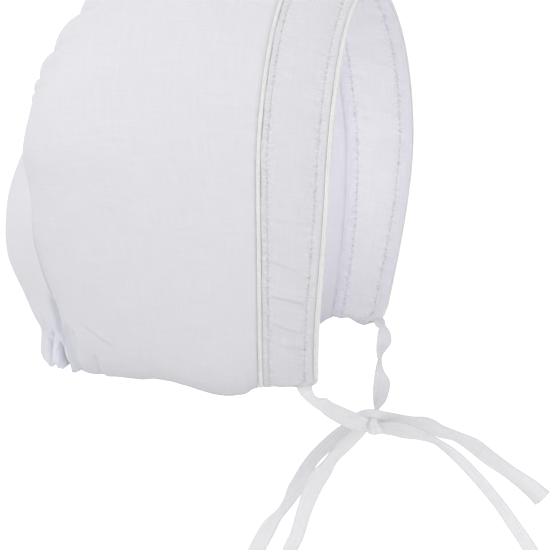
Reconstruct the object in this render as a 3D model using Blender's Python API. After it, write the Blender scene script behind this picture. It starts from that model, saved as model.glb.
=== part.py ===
"""Baby bonnet of thin white cotton: gathered crown, bulging back, doubled brim band, two pipings and tape ties.

Metres, +Z up. The face opens towards -Y and the wearer's left is +X.
The origin is the point of the crown's inside that rests on top of the head.
"""

import math
from typing import NamedTuple

import bmesh
import bpy
import numpy as np
from mathutils import Vector

MM = 0.001

# Cloth and clearances
CROWN_WALL = 1.0 * MM
BACK_WALL = 1.0 * MM
BAND_WALL = 1.3 * MM
PIECE_GAP = 0.3 * MM
RIM_GAP = 0.5 * MM
PIPING_DIAMETER = 1.8 * MM

# Face opening, measured on the front edge of the band
OPENING_HALF_WIDTH = 57.6 * MM
OPENING_CORNER_HALF = 43.6 * MM
OPENING_TOP = -4.4 * MM
OPENING_WAIST = -72.0 * MM
FACE_HEIGHT = 120.6 * MM
LOWER_EDGE = OPENING_TOP - FACE_HEIGHT
OPENING_FRONT = -45.0 * MM
OPENING_LEAN = 1.3 * MM
OPENING_BOW = -2.4 * MM
CORNER_SET_BACK = 3.1 * MM
SET_BACK_FROM = 0.45
CORNER_ROUND = 3.0 * MM

# Brim band
BAND_WIDTH = 22.4 * MM
BAND_CORNER_WIDTH = 17.2 * MM
NARROWING_FROM = 0.3

# Seam between band and crown
SEAM_HALF_WIDTH = 57.6 * MM
SEAM_CORNER_HALF = 46.6 * MM
SEAM_TOP = -0.5 * MM

# Seam between crown and back
BACK_HALF_WIDTH = 38.0 * MM
BACK_NAPE_HALF = 21.0 * MM
BACK_TOP = -9.0 * MM
BACK_WAIST = -70.0 * MM
BACK_DEPTH = 55.0 * MM
NAPE_DROP = 5.5 * MM
BACK_BULGE = 18.0 * MM

# Fullness of the crown
CROWN_PUFF = 4.0 * MM
CROWN_SAG = 3.0 * MM
SAG_REACH = 0.42
GATHER_HEIGHT = 2.0 * MM
GATHER_PITCH = 9.5 * MM
GATHER_HELD = 0.75
HELD_FROM = 0.75
NAPE_GATHER_HEIGHT = 1.3 * MM
NAPE_GATHER_PITCH = 6.5 * MM
NAPE_GATHER_FROM = 0.72
NAPE_GATHER_ENDS = 8

# Tape ties
TIE_WIDTH = 5.5 * MM
TIE_THICKNESS = 1.0 * MM
TIE_STEP = 4.5 * MM
KNOT_CENTRE = (0.0 * MM, -47.2 * MM, -147.9 * MM)
KNOT_SIDE = 7.0 * MM
KNOT_LENGTH = 9.2 * MM
KNOT_HEIGHT = 6.8 * MM
KNOT_WRAP = 0.10
KNOT_WRAP_REACH = 0.35

# Fineness of the meshes and lines
CROWN_COLUMNS = 104
CROWN_ROWS = 10
BAND_COLUMNS = 56
BAND_ROWS = 3
BACK_COLUMNS = 36
BACK_ROWS = 15
PIPING_POINTS = 60
KNOT_COLUMNS = 20
KNOT_ROWS = 10
LINE_SAMPLES = 601

# Colours and finish
COTTON = (0.80, 0.81, 0.86)
BAND_COTTON = (0.78, 0.79, 0.84)
PIPING_IVORY = (0.86, 0.85, 0.79)
CLOTH_ROUGHNESS = 0.9


class Arch(NamedTuple):
    """An upright arch that narrows to its two lower corners."""

    half_width: float
    corner_half: float
    top: float
    waist: float
    low: float


class BackRow(NamedTuple):
    """One level of the back: share of the way down, then shares of BACK_DEPTH and BACK_BULGE."""

    down: float
    depth: float
    bulge: float


class TiePoint(NamedTuple):
    """A point on a tape's middle line, in millimetres, and the tape's roll from its facing, in degrees."""

    x: float
    y: float
    z: float
    roll: float


class CrownRow(NamedTuple):
    """One place along the crown, from its top to a corner: turn-in at the back in degrees, then shares of the
    named fullness sizes."""

    along: float
    turn: float
    puff: float
    gather: float
    sag: float


BACK_ROWS_TABLE = (
    BackRow(down=0.0, depth=0.56, bulge=0.4),
    BackRow(down=0.3, depth=0.855, bulge=0.78),
    BackRow(down=0.6, depth=0.995, bulge=1.15),
    BackRow(down=0.72, depth=0.945, bulge=1.33),
    BackRow(down=0.82, depth=0.885, bulge=1.22),
    BackRow(down=1.0, depth=0.875, bulge=0.76),
)

CROWN_ROWS_TABLE = (
    CrownRow(along=0.0, turn=112.0, puff=1.0, gather=1.0, sag=0.0),
    CrownRow(along=0.4, turn=109.0, puff=1.0, gather=1.0, sag=0.0),
    CrownRow(along=0.5, turn=103.0, puff=0.95, gather=0.9, sag=0.0),
    CrownRow(along=0.58, turn=88.0, puff=0.8, gather=0.5, sag=0.0),
    CrownRow(along=0.68, turn=76.0, puff=0.6, gather=0.2, sag=0.0),
    CrownRow(along=0.84, turn=72.0, puff=0.4, gather=0.0, sag=0.4),
    CrownRow(along=1.0, turn=70.0, puff=0.0, gather=0.0, sag=1.0),
)

FACES_SIDE = (1.0, 0.0, 0.0)
FACES_FRONT = (0.0, -1.0, 0.0)

TIE_FACINGS = {
    "near_tie": FACES_FRONT,
    "far_tie": FACES_FRONT,
    "tail_upper": FACES_SIDE,
    "tail_lower": FACES_SIDE,
    "bow_loop": FACES_SIDE,
}

TIE_ROUTES = {
    "near_tie": (
        TiePoint(-42.9, -36.9, -125.5, 88.0),
        TiePoint(-42.5, -37.8, -127.1, 78.0),
        TiePoint(-41.1, -38.9, -128.9, 60.0),
        TiePoint(-38.0, -40.2, -130.9, 30.0),
        TiePoint(-33.0, -41.7, -134.1, 6.0),
        TiePoint(-26.5, -43.1, -137.5, 0.0),
        TiePoint(-18.0, -44.3, -141.4, 0.0),
        TiePoint(-9.5, -45.0, -144.9, 0.0),
        TiePoint(-4.1, -45.6, -147.0, 0.0),
    ),
    "far_tie": (
        TiePoint(42.6, -40.2, -125.6, 86.0),
        TiePoint(41.8, -41.0, -126.6, 80.0),
        TiePoint(39.5, -42.1, -127.9, 84.0),
        TiePoint(36.0, -43.1, -129.3, 92.0),
        TiePoint(31.0, -43.6, -131.5, 130.0),
        TiePoint(26.0, -44.4, -133.6, 178.0),
        TiePoint(18.5, -46.6, -136.3, 232.0),
        TiePoint(12.0, -48.0, -139.2, 272.0),
        TiePoint(7.0, -48.3, -142.0, 300.0),
        TiePoint(3.0, -47.8, -144.6, 350.0),
    ),
    "tail_upper": (
        TiePoint(1.9, -51.6, -146.2, 0.0),
        TiePoint(2.4, -56.8, -147.1, 0.0),
        TiePoint(3.2, -60.8, -147.7, 0.0),
        TiePoint(4.2, -65.2, -147.9, 8.0),
        TiePoint(5.0, -69.7, -150.0, 14.0),
        TiePoint(6.0, -74.5, -151.7, 20.0),
        TiePoint(7.0, -80.0, -154.3, 8.0),
        TiePoint(7.6, -84.6, -157.8, 0.0),
        TiePoint(8.6, -91.9, -163.1, 0.0),
        TiePoint(9.4, -98.2, -167.8, 0.0),
        TiePoint(10.0, -102.5, -172.1, 0.0),
    ),
    "tail_lower": (
        TiePoint(-1.4, -52.2, -148.8, 0.0),
        TiePoint(-2.4, -55.4, -148.3, 0.0),
        TiePoint(-3.2, -59.6, -148.3, 0.0),
        TiePoint(-4.0, -64.1, -148.8, 10.0),
        TiePoint(-4.6, -69.6, -150.7, 35.0),
        TiePoint(-5.0, -77.0, -155.3, 10.0),
        TiePoint(-5.0, -83.7, -161.4, 0.0),
        TiePoint(-5.0, -91.4, -170.1, 0.0),
        TiePoint(-5.0, -101.6, -184.1, 0.0),
        TiePoint(-5.0, -104.1, -188.7, 0.0),
    ),
    "bow_loop": (
        TiePoint(1.15, -42.8, -149.4, 0.0),
        TiePoint(2.0, -38.4, -151.6, 0.0),
        TiePoint(2.6, -31.9, -157.2, 18.0),
        TiePoint(2.6, -27.0, -162.7, 28.0),
        TiePoint(2.2, -22.7, -170.7, 0.0),
        TiePoint(1.8, -17.8, -178.8, 48.0),
        TiePoint(1.6, -15.6, -182.0, 50.0),
        TiePoint(1.2, -12.6, -186.8, 14.0),
        TiePoint(0.6, -8.8, -194.5, 0.0),
        TiePoint(0.0, -5.9, -201.7, 0.0),
        TiePoint(-1.0, -5.9, -207.6, 0.0),
        TiePoint(-2.0, -10.0, -211.4, 0.0),
        TiePoint(-3.0, -15.7, -208.8, 0.0),
        TiePoint(-4.0, -19.4, -201.5, 0.0),
        TiePoint(-4.4, -21.5, -191.7, 0.0),
        TiePoint(-4.7, -23.6, -187.1, 0.0),
        TiePoint(-5.0, -26.4, -178.1, 0.0),
        TiePoint(-5.2, -28.6, -171.6, 0.0),
        TiePoint(-5.4, -31.2, -166.0, 8.0),
        TiePoint(-5.4, -33.2, -163.3, 30.0),
        TiePoint(-5.2, -35.5, -160.6, 48.0),
        TiePoint(-4.3, -40.0, -154.9, 24.0),
        TiePoint(-1.8, -43.6, -150.7, 0.0),
    ),
}


def smooth(share):
    """Eases a share from 0 to 1, flat at both ends."""
    clipped = np.clip(share, 0.0, 1.0)
    return clipped * clipped * (3.0 - 2.0 * clipped)


def through(rows, column, at):
    """Reads a table's column at a value of its first column, on a smooth curve through the rows."""
    known = np.array([row[0] for row in rows])
    values = np.array([getattr(row, column) for row in rows])
    slopes = np.gradient(values, known)
    place = np.clip(np.searchsorted(known, at, side="right") - 1, 0, len(rows) - 2)
    step = known[place + 1] - known[place]
    share = (np.clip(at, known[0], known[-1]) - known[place]) / step
    start = (1 + 2 * share) * (1 - share) ** 2
    end = share * share * (3 - 2 * share)
    lead = share * (1 - share) ** 2 * step
    trail = share * share * (share - 1) * step
    return values[place] * start + values[place + 1] * end + slopes[place] * lead + slopes[place + 1] * trail


def arch_line(arch, depth_of, count, lift=0.0):
    """Points spaced evenly along an arch, from the corner at -X over the top to the corner at +X.

    Both ends stop at a lift above the arch's lower edge.
    """
    fine = np.linspace(-1.0, 1.0, LINE_SAMPLES)
    end_angle = math.pi - math.asin(min(arch.corner_half / arch.half_width, 1.0))
    angle = np.abs(fine) * end_angle
    lower_rise = (arch.waist - arch.low) / -math.cos(end_angle)
    rise = np.where(angle < math.pi / 2, arch.top - arch.waist, lower_rise)
    x = np.sign(fine) * arch.half_width * np.sin(angle)
    z = arch.waist + rise * np.cos(angle)
    down = (arch.top - z) / (arch.top - arch.low)
    points = np.stack([x, depth_of(down), z], axis=1)
    kept = points[z >= arch.low + lift] if lift > 0 else points
    return spaced(kept, count)


def spaced(points, count):
    """Points at equal distances along a line of many points."""
    lengths = np.linalg.norm(np.diff(points, axis=0), axis=1)
    run = np.concatenate([[0.0], np.cumsum(lengths)])
    wanted = np.linspace(0.0, run[-1], count)
    return np.stack([np.interp(wanted, run, points[:, axis]) for axis in range(3)], axis=1)


def corner_set_back(down):
    """How far the round of a lower front corner lies behind the opening's edge."""
    height = OPENING_TOP - LOWER_EDGE
    share = np.clip((down - 1.0) * height / CORNER_ROUND + 1.0, 0.0, 1.0)
    return CORNER_ROUND * (1.0 - np.sqrt(1.0 - share ** 2))


def opening_depth(down):
    """Y of the face opening's edge at a share of the way down."""
    bow = OPENING_BOW * 4 * down * (1 - down)
    set_back = CORNER_SET_BACK * smooth((down - SET_BACK_FROM) / (1 - SET_BACK_FROM))
    return OPENING_FRONT + OPENING_LEAN * down + bow + set_back + corner_set_back(down)


def band_width(down):
    """Width of the brim band, which narrows towards its corners."""
    narrowed = smooth((down - NARROWING_FROM) / (1 - NARROWING_FROM))
    return BAND_WIDTH + (BAND_CORNER_WIDTH - BAND_WIDTH) * narrowed


def seam_depth(down):
    """Y of the seam between band and crown."""
    return opening_depth(down) - corner_set_back(down) + band_width(down)


def back_depth(down):
    """Y of the seam between crown and back."""
    return BACK_DEPTH * through(BACK_ROWS_TABLE, "depth", down)


OPENING = Arch(OPENING_HALF_WIDTH, OPENING_CORNER_HALF, OPENING_TOP, OPENING_WAIST, LOWER_EDGE)
SEAM = Arch(SEAM_HALF_WIDTH, SEAM_CORNER_HALF, SEAM_TOP, OPENING_WAIST, LOWER_EDGE)
BACK_SEAM = Arch(BACK_HALF_WIDTH, BACK_NAPE_HALF, BACK_TOP, BACK_WAIST, LOWER_EDGE - NAPE_DROP)


def crown_grid():
    """Outer surface of the crown: rows from the band's seam to the back's seam, columns along the arch."""
    columns = CROWN_COLUMNS + 1
    front = arch_line(SEAM, seam_depth, columns)
    rear = arch_line(BACK_SEAM, back_depth, columns)
    front[:, 1] += PIPING_DIAMETER / 2 + PIECE_GAP
    along = np.abs(np.linspace(-1.0, 1.0, columns))
    turn = np.radians(through(CROWN_ROWS_TABLE, "turn", along))
    puff = CROWN_PUFF * through(CROWN_ROWS_TABLE, "puff", along)
    gather = GATHER_HEIGHT * through(CROWN_ROWS_TABLE, "gather", along)
    sag = CROWN_SAG * through(CROWN_ROWS_TABLE, "sag", along)
    outward = outward_of(rear, BACK_WAIST)
    rear_length = np.linalg.norm(np.diff(rear, axis=0), axis=1).sum()
    waves = round(rear_length / GATHER_PITCH)
    phase = np.cos(np.linspace(-1.0, 1.0, columns) * math.pi * waves)
    rows = []
    for back in np.linspace(0.0, 1.0, CROWN_ROWS + 1):
        angle = back * turn
        reach = np.sin(angle) / np.sin(turn)
        fall = (1 - np.cos(angle)) / (1 - np.cos(turn))
        row = front.copy()
        row[:, 1] += (rear[:, 1] - front[:, 1]) * reach
        row[:, 0] += (rear[:, 0] - front[:, 0]) * fall
        row[:, 2] += (rear[:, 2] - front[:, 2]) * fall
        held = 1.0 - GATHER_HELD * float(smooth((back - HELD_FROM) / (1 - HELD_FROM)))
        swell = puff * math.sin(math.pi * back) + gather * (1 + phase) / 2 * back ** 2 * held
        row += outward * (swell * np.cos(angle))[:, None]
        row[:, 1] += swell * np.sin(angle)
        row[:, 2] -= sag * math.sin(math.pi * min(1.0, back / SAG_REACH))
        rows.append(row)
    return np.array(rows)


def outward_of(line, middle):
    """Directions across a line away from a level on the bonnet's middle plane, lying in XZ."""
    outward = line - np.array([0.0, 0.0, middle])
    outward[:, 1] = 0.0
    return outward / np.linalg.norm(outward, axis=1)[:, None]


def band_grid():
    """Outer surface of the brim band: rows from the face opening to the crown's seam."""
    columns = BAND_COLUMNS + 1
    front = arch_line(OPENING, opening_depth, columns)
    rear = arch_line(SEAM, seam_depth, columns)
    margin = PIPING_DIAMETER / 2 + PIECE_GAP
    front[:, 1] += margin
    rear[:, 1] -= margin
    shares = np.linspace(0.0, 1.0, BAND_ROWS + 1)[:, None, None]
    return front + (rear - front) * shares


def back_grid():
    """Outer surface of the back: one point at its top, then rows from the -X seam to the +X seam."""
    seam = arch_line(BACK_SEAM, back_depth, 2 * BACK_ROWS + 1)
    seam -= outward_of(seam, BACK_WAIST) * RIM_GAP
    across = np.linspace(-1.0, 1.0, BACK_COLUMNS + 1)
    nape_length = 2 * math.hypot(BACK_NAPE_HALF, BACK_BULGE * BACK_ROWS_TABLE[-1].bulge)
    waves = round(nape_length / NAPE_GATHER_PITCH)
    rows = []
    for level in range(1, BACK_ROWS + 1):
        near = seam[BACK_ROWS - level]
        far = seam[BACK_ROWS + level]
        down = (BACK_TOP - near[2]) / (BACK_TOP - BACK_SEAM.low)
        half = (far[0] - near[0]) / 2
        bulge = BACK_BULGE * float(through(BACK_ROWS_TABLE, "bulge", down))
        bulge *= min(1.0, half / BACK_NAPE_HALF)
        row = near + (far - near) * ((across + 1) / 2)[:, None]
        row[:, 1] += bulge * (1 - across ** 2)
        gathered = float(smooth((down - NAPE_GATHER_FROM) / (1 - NAPE_GATHER_FROM)))
        gather = NAPE_GATHER_HEIGHT * gathered * (1 - across ** NAPE_GATHER_ENDS)
        row[:, 1] += gather * np.cos(across * math.pi * waves)
        rows.append(row)
    return seam[BACK_ROWS], np.array(rows)


def new_material(name, colour, roughness):
    """A Principled BSDF material of one colour."""
    material = bpy.data.materials.new(name)
    material.use_nodes = True
    shader = material.node_tree.nodes["Principled BSDF"]
    shader.inputs["Base Color"].default_value = (*colour, 1.0)
    shader.inputs["Roughness"].default_value = roughness
    shader.inputs["Metallic"].default_value = 0.0
    material.diffuse_color = (*colour, 1.0)
    return material


def add_object(name, data, colour):
    """Links a new object with a cloth material of its own."""
    part = bpy.data.objects.new(name, data)
    bpy.context.scene.collection.objects.link(part)
    data.materials.append(new_material(name + "_cloth", colour, CLOTH_ROUGHNESS))
    return part


def sheet_of(name, grid, wall, colour, tip=None):
    """A cloth wall whose outer surface is a grid of points. A tip closes the first row in one point."""
    mesh = bpy.data.meshes.new(name)
    build = bmesh.new()
    verts = [[build.verts.new(point) for point in row] for row in grid]
    for upper, lower in zip(verts, verts[1:]):
        for place in range(len(upper) - 1):
            build.faces.new((upper[place], upper[place + 1], lower[place + 1], lower[place]))
    if tip is not None:
        apex = build.verts.new(tip)
        first = verts[0]
        for place in range(len(first) - 1):
            build.faces.new((apex, first[place + 1], first[place]))
    bmesh.ops.recalc_face_normals(build, faces=build.faces)
    inside = Vector((0.0, 0.0, BACK_WAIST))
    facing_out = sum(face.normal.dot(face.calc_center_median() - inside) for face in build.faces)
    if facing_out < 0:
        bmesh.ops.reverse_faces(build, faces=build.faces)
    build.to_mesh(mesh)
    build.free()
    part = add_object(name, mesh, colour)
    solid = part.modifiers.new("wall", "SOLIDIFY")
    solid.thickness = wall
    solid.offset = -1.0
    solid.use_even_offset = True
    return part


def piping_of(name, line, colour):
    """A round cord sewn along an edge."""
    curve = bpy.data.curves.new(name, "CURVE")
    curve.dimensions = "3D"
    curve.bevel_depth = PIPING_DIAMETER / 2
    curve.bevel_resolution = 2
    curve.use_fill_caps = True
    spline = curve.splines.new("POLY")
    spline.points.add(len(line) - 1)
    for point, place in zip(spline.points, line):
        point.co = (*place, 1.0)
    return add_object(name, curve, colour)


def curve_through(points, step):
    """Points every step or so on a smooth curve through the rows of an array."""
    gaps = np.sqrt(np.linalg.norm(np.diff(points[:, :3], axis=0), axis=1))
    knots = np.concatenate([[0.0], np.cumsum(gaps)])
    slopes = np.gradient(points, knots, axis=0)
    fine = np.linspace(0.0, knots[-1], LINE_SAMPLES)
    place = np.clip(np.searchsorted(knots, fine, side="right") - 1, 0, len(knots) - 2)
    span = (knots[place + 1] - knots[place])[:, None]
    share = ((fine - knots[place]) / span[:, 0])[:, None]
    start = (1 + 2 * share) * (1 - share) ** 2 * points[place]
    end = share ** 2 * (3 - 2 * share) * points[place + 1]
    lead = share * (1 - share) ** 2 * span * slopes[place]
    trail = share ** 2 * (share - 1) * span * slopes[place + 1]
    line = start + end + lead + trail
    lengths = np.linalg.norm(np.diff(line[:, :3], axis=0), axis=1)
    run = np.concatenate([[0.0], np.cumsum(lengths)])
    wanted = np.linspace(0.0, run[-1], max(3, round(run[-1] / step) + 1))
    return np.stack([np.interp(wanted, run, line[:, column]) for column in range(line.shape[1])], axis=1)


def tilts_of(line, facing):
    """Tilts that turn a tape's flat side to a direction, and then by the roll in the line's last column."""
    steps = np.diff(line[:, :3], axis=0)
    steps /= np.linalg.norm(steps, axis=1)[:, None]
    along = np.concatenate([steps[:1], steps[1:] + steps[:-1], steps[-1:]])
    along /= np.linalg.norm(along, axis=1)[:, None]
    upright = np.array([0.0, 0.0, 1.0]) - along[:, 2:] * along
    upright /= np.linalg.norm(upright, axis=1)[:, None]
    across = np.cross(facing, along)
    across /= np.linalg.norm(across, axis=1)[:, None]
    turn = np.arctan2((np.cross(upright, across) * along).sum(axis=1), (upright * across).sum(axis=1))
    return turn + line[:, 3]


def tape_of(name, route, facing, colour):
    """A flat tape along a route, its flat side turned to a direction where its roll is 0."""
    rows = np.array(route) * [MM, MM, MM, math.pi / 180]
    curve = bpy.data.curves.new(name, "CURVE")
    curve.dimensions = "3D"
    curve.twist_mode = "Z_UP"
    curve.extrude = (TIE_WIDTH - TIE_THICKNESS) / 2
    curve.bevel_depth = TIE_THICKNESS / 2
    curve.bevel_resolution = 2
    curve.use_fill_caps = True
    line = curve_through(rows, TIE_STEP)
    spline = curve.splines.new("POLY")
    spline.points.add(len(line) - 1)
    for point, place, tilt in zip(spline.points, line, tilts_of(line, facing)):
        point.co = (*place[:3], 1.0)
        point.tilt = tilt
    return add_object(name, curve, colour)


def knot_of(name, colour):
    """The small round knot, with a wrap that stands proud around its middle."""
    mesh = bpy.data.meshes.new(name)
    build = bmesh.new()
    bmesh.ops.create_uvsphere(build, u_segments=KNOT_COLUMNS, v_segments=KNOT_ROWS, radius=1.0)
    for vert in build.verts:
        wrap = 1.0 + KNOT_WRAP * math.exp(-(vert.co.y / KNOT_WRAP_REACH) ** 2)
        side = vert.co.x * KNOT_SIDE / 2 * wrap
        length = vert.co.y * KNOT_LENGTH / 2
        height = vert.co.z * KNOT_HEIGHT / 2 * wrap
        vert.co = (KNOT_CENTRE[0] + side, KNOT_CENTRE[1] + length, KNOT_CENTRE[2] + height)
    build.to_mesh(mesh)
    build.free()
    return add_object(name, mesh, colour)


def clear_scene():
    """Removes whatever the scene holds."""
    for part in list(bpy.data.objects):
        bpy.data.objects.remove(part, do_unlink=True)


def build_bonnet():
    """Makes every piece of the bonnet."""
    clear_scene()
    sheet_of("crown", crown_grid(), CROWN_WALL, COTTON)
    tip, rows = back_grid()
    sheet_of("back_panel", rows, BACK_WALL, COTTON, tip)
    sheet_of("band", band_grid(), BAND_WALL, BAND_COTTON)
    piping_of("seam_piping", arch_line(SEAM, seam_depth, PIPING_POINTS), PIPING_IVORY)
    edge = arch_line(OPENING, opening_depth, PIPING_POINTS, lift=CORNER_ROUND)
    piping_of("edge_piping", edge, PIPING_IVORY)
    for name, route in TIE_ROUTES.items():
        tape_of(name, route, TIE_FACINGS[name], COTTON)
    knot_of("tie_knot", COTTON)


if __name__ == "__main__":
    build_bonnet()
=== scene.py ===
"""Dresses the baby bonnet: cotton crown and back, doubled band, piping, topstitching and tape ties."""

import logging
import math
from dataclasses import dataclass, field
from enum import Enum
from typing import Callable, NamedTuple

import bpy
import numpy as np
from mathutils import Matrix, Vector


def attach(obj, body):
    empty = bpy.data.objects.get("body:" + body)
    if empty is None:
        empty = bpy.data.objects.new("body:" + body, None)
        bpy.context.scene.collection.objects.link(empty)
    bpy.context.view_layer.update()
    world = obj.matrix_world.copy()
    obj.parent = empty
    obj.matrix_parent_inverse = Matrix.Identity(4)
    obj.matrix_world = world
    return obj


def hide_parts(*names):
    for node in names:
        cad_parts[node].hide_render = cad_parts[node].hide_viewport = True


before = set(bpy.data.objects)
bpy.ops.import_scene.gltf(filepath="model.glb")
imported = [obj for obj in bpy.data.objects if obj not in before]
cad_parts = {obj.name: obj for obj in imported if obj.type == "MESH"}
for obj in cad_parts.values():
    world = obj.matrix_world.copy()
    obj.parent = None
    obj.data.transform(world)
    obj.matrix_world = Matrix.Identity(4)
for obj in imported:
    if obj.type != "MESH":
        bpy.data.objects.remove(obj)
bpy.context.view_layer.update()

LOG = logging.getLogger("bonnet")
MM = 0.001
LINE_SAMPLES = 2001
BODY = "root"
WEAVE_WAY = "weave_way"
# colours of painted shade, multiplied into a cloth's colour: in creases, folds and seams, on inner sides, on
# the hem and on tapes turned from the light
PAINTED_SHADE = "painted_shade"
MIDDLE = -70.0 * MM  # the level on the middle plane that every surface faces away from
TINY = 1e-12
NORMAL_STEP = 1e-3
INSIDE_EDGE = 2e-3  # normals near an edge are read this share inside it
RIPPLE_CREST = 1.6  # brings the highest crests of a sum of ripples to about 1


def smooth(share: np.ndarray | float) -> np.ndarray:
    """Eases a share from 0 to 1, flat at both ends.

    Args:
        share: Values that may lie outside 0 to 1.

    Returns:
        The eased values, from 0 to 1.
    """
    clipped = np.clip(share, 0.0, 1.0)
    return clipped * clipped * (3.0 - 2.0 * clipped)


def hill(away: np.ndarray, reach: float) -> np.ndarray:
    """A smooth hill of height 1 at 0 that has faded at about twice its reach.

    Args:
        away: Distances from the hill's middle.
        reach: Distance at which the hill has fallen to about a third.

    Returns:
        Heights from 0 to 1.
    """
    return np.exp(-((away / reach) ** 2))


def pleat(turns: np.ndarray, roundness: float = 0.7) -> np.ndarray:
    """Round puffs between sharp valleys, one for each whole turn.

    Args:
        turns: Place along the gathered edge, counted in pleats.
        roundness: Power that rounds the puffs; smaller is fuller.

    Returns:
        Heights from -1 in the valleys to 1 on the puffs.
    """
    return 2.0 * np.abs(np.sin(math.pi * turns)) ** roundness - 1.0


def faded(at: np.ndarray, start: float, reach: float) -> np.ndarray:
    """1 up to a start, 0 from a reach past it, and a smooth fall between."""
    return 1 - smooth((at - start) / reach)


class Stretch(NamedTuple):
    """A stretch of cloth on which something is present, with soft ends, in metres."""

    start: float
    rise: float
    end: float
    fall: float

    def at(self, away: np.ndarray) -> np.ndarray:
        """How much of it is present at distances, from 0 to 1."""
        return smooth((away - self.start) / self.rise) * faded(away, self.end, self.fall)


def unit(vectors: np.ndarray) -> np.ndarray:
    """Scales the vectors of an array to length 1."""
    return vectors / np.maximum(np.linalg.norm(vectors, axis=-1, keepdims=True), TINY)


def quarter_wave(share: np.ndarray) -> np.ndarray:
    """Eases shares from -1 to 1 towards their ends."""
    return np.sin(share * math.pi / 2)


def shares_from(first: float, count: int, plain: float, ease: Callable) -> np.ndarray:
    """Shares up to 1 that lie closer together near their ends.

    Args:
        first: The first share, 0 or -1.
        count: How many shares.
        plain: How much of the spacing is even, from 0 to 1.
        ease: What the rest of the spacing follows.

    Returns:
        The shares.
    """
    even = np.linspace(first, 1.0, count)
    return plain * even + (1 - plain) * ease(even)


def curve(knots: np.ndarray, rows: np.ndarray, at: np.ndarray) -> np.ndarray:
    """Reads a smooth curve through rows of values.

    Args:
        knots: Rising places of the rows.
        rows: A row of values for each knot.
        at: Places to read the curve at.

    Returns:
        The values there, with one more axis than at.
    """
    slopes = np.gradient(rows, knots, axis=0)
    place = np.clip(np.searchsorted(knots, at, side="right") - 1, 0, len(knots) - 2)
    step = (knots[place + 1] - knots[place])[..., None]
    share = (np.clip(at, knots[0], knots[-1]) - knots[place])[..., None] / step
    start = (1 + 2 * share) * (1 - share) ** 2
    end = share * share * (3 - 2 * share)
    lead = share * (1 - share) ** 2 * step
    trail = share * share * (share - 1) * step
    return rows[place] * start + rows[place + 1] * end + slopes[place] * lead + slopes[place + 1] * trail


def through(rows: tuple, column: str, at: np.ndarray) -> np.ndarray:
    """Reads a table's column on a smooth curve through its rows.

    Args:
        rows: Named tuples, sorted by their first column.
        column: Name of the column to read.
        at: Values of the first column to read it at.

    Returns:
        The column's values there.
    """
    known = np.array([row[0] for row in rows])
    values = np.array([getattr(row, column) for row in rows])
    return curve(known, values[:, None], at)[..., 0]


def between(at: np.ndarray, knots: np.ndarray, rows: np.ndarray) -> np.ndarray:
    """Rows of values read at places between their knots, on straight lines."""
    return np.stack([np.interp(at, knots, column) for column in rows.T], axis=-1)


def distances(points: np.ndarray) -> np.ndarray:
    """Distances from a line's first point to each of its points."""
    steps = np.linalg.norm(np.diff(points[:, :3], axis=0), axis=1)
    return np.concatenate([[0.0], np.cumsum(steps)])


def spaced(points: np.ndarray, count: int) -> np.ndarray:
    """Points at equal distances along a line.

    Args:
        points: The line's points; columns past the third are carried along.
        count: How many points to return.

    Returns:
        The evenly spaced points.
    """
    run = distances(points)
    return between(np.linspace(0.0, run[-1], count), run, points)


@dataclass(frozen=True)
class Ripples:
    """An irregular smooth wave over a cloth's two ways, the same each run."""

    seed: int
    shortest: float
    longest: float
    lean: float = 0.0
    spread: float = math.pi
    count: int = 9
    height: float = 1.0

    def at(self, along: np.ndarray, across: np.ndarray) -> np.ndarray:
        """Heights from about -height to height.

        Args:
            along: Distances along the cloth, in metres.
            across: Distances across the cloth, in metres.

        Returns:
            The wave's heights there.
        """
        draw = np.random.default_rng(self.seed)
        total = np.zeros(np.broadcast(along, across).shape)
        weights = 0.0
        for _ in range(self.count):
            length = self.shortest * (self.longest / self.shortest) ** draw.random()
            heading = self.lean + self.spread * (draw.random() - 0.5)
            phase = draw.random() * 2 * math.pi
            reach = along * math.cos(heading) + across * math.sin(heading)
            total += length * np.sin(2 * math.pi * reach / length + phase)
            weights += length
        return total / weights * math.sqrt(self.count) / RIPPLE_CREST * self.height


class Line:
    """A line in space that is read by its share of length, from -1 at its first end to 1 at its last."""

    def __init__(self, points: np.ndarray) -> None:
        """Spaces the points evenly."""
        self.points = spaced(points, LINE_SAMPLES)
        self.length = float(distances(self.points)[-1])

    def at(self, share: np.ndarray) -> np.ndarray:
        """Points at shares of the line, from -1 to 1."""
        place = (np.clip(share, -1.0, 1.0) + 1) / 2 * (LINE_SAMPLES - 1)
        return between(place, np.arange(LINE_SAMPLES), self.points)


@dataclass(frozen=True)
class Arch:
    """An upright arch that narrows to its two lower corners, in metres."""

    half_width: float
    corner_half: float
    top: float
    waist: float
    low: float

    def line(self, depth_of: Callable, lift: float = 0.0) -> Line:
        """The arch as a line from the corner at -X over the top to the corner at +X.

        Args:
            depth_of: Gives Y at a share of the way down.
            lift: Height above the lower edge at which both ends stop.

        Returns:
            The line.
        """
        fine = np.linspace(-1.0, 1.0, LINE_SAMPLES)
        end_angle = math.pi - math.asin(self.corner_half / self.half_width)
        angle = np.abs(fine) * end_angle
        lower_rise = (self.waist - self.low) / -math.cos(end_angle)
        rise = np.where(angle < math.pi / 2, self.top - self.waist, lower_rise)
        x = np.sign(fine) * self.half_width * np.sin(angle)
        z = self.waist + rise * np.cos(angle)
        down = (self.top - z) / (self.top - self.low)
        points = np.stack([x, depth_of(down), z], axis=1)
        return Line(points[z >= self.low + lift] if lift > 0 else points)


class BackRow(NamedTuple):
    """One level of the back: share of the way down, then shares of the back's depth and bulge."""

    down: float
    depth: float
    bulge: float


class CrownRow(NamedTuple):
    """A place along the crown, from its top to a corner: degrees of turn-in, then shares of its fullness."""

    along: float
    turn: float
    puff: float
    gather: float
    sag: float


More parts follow.
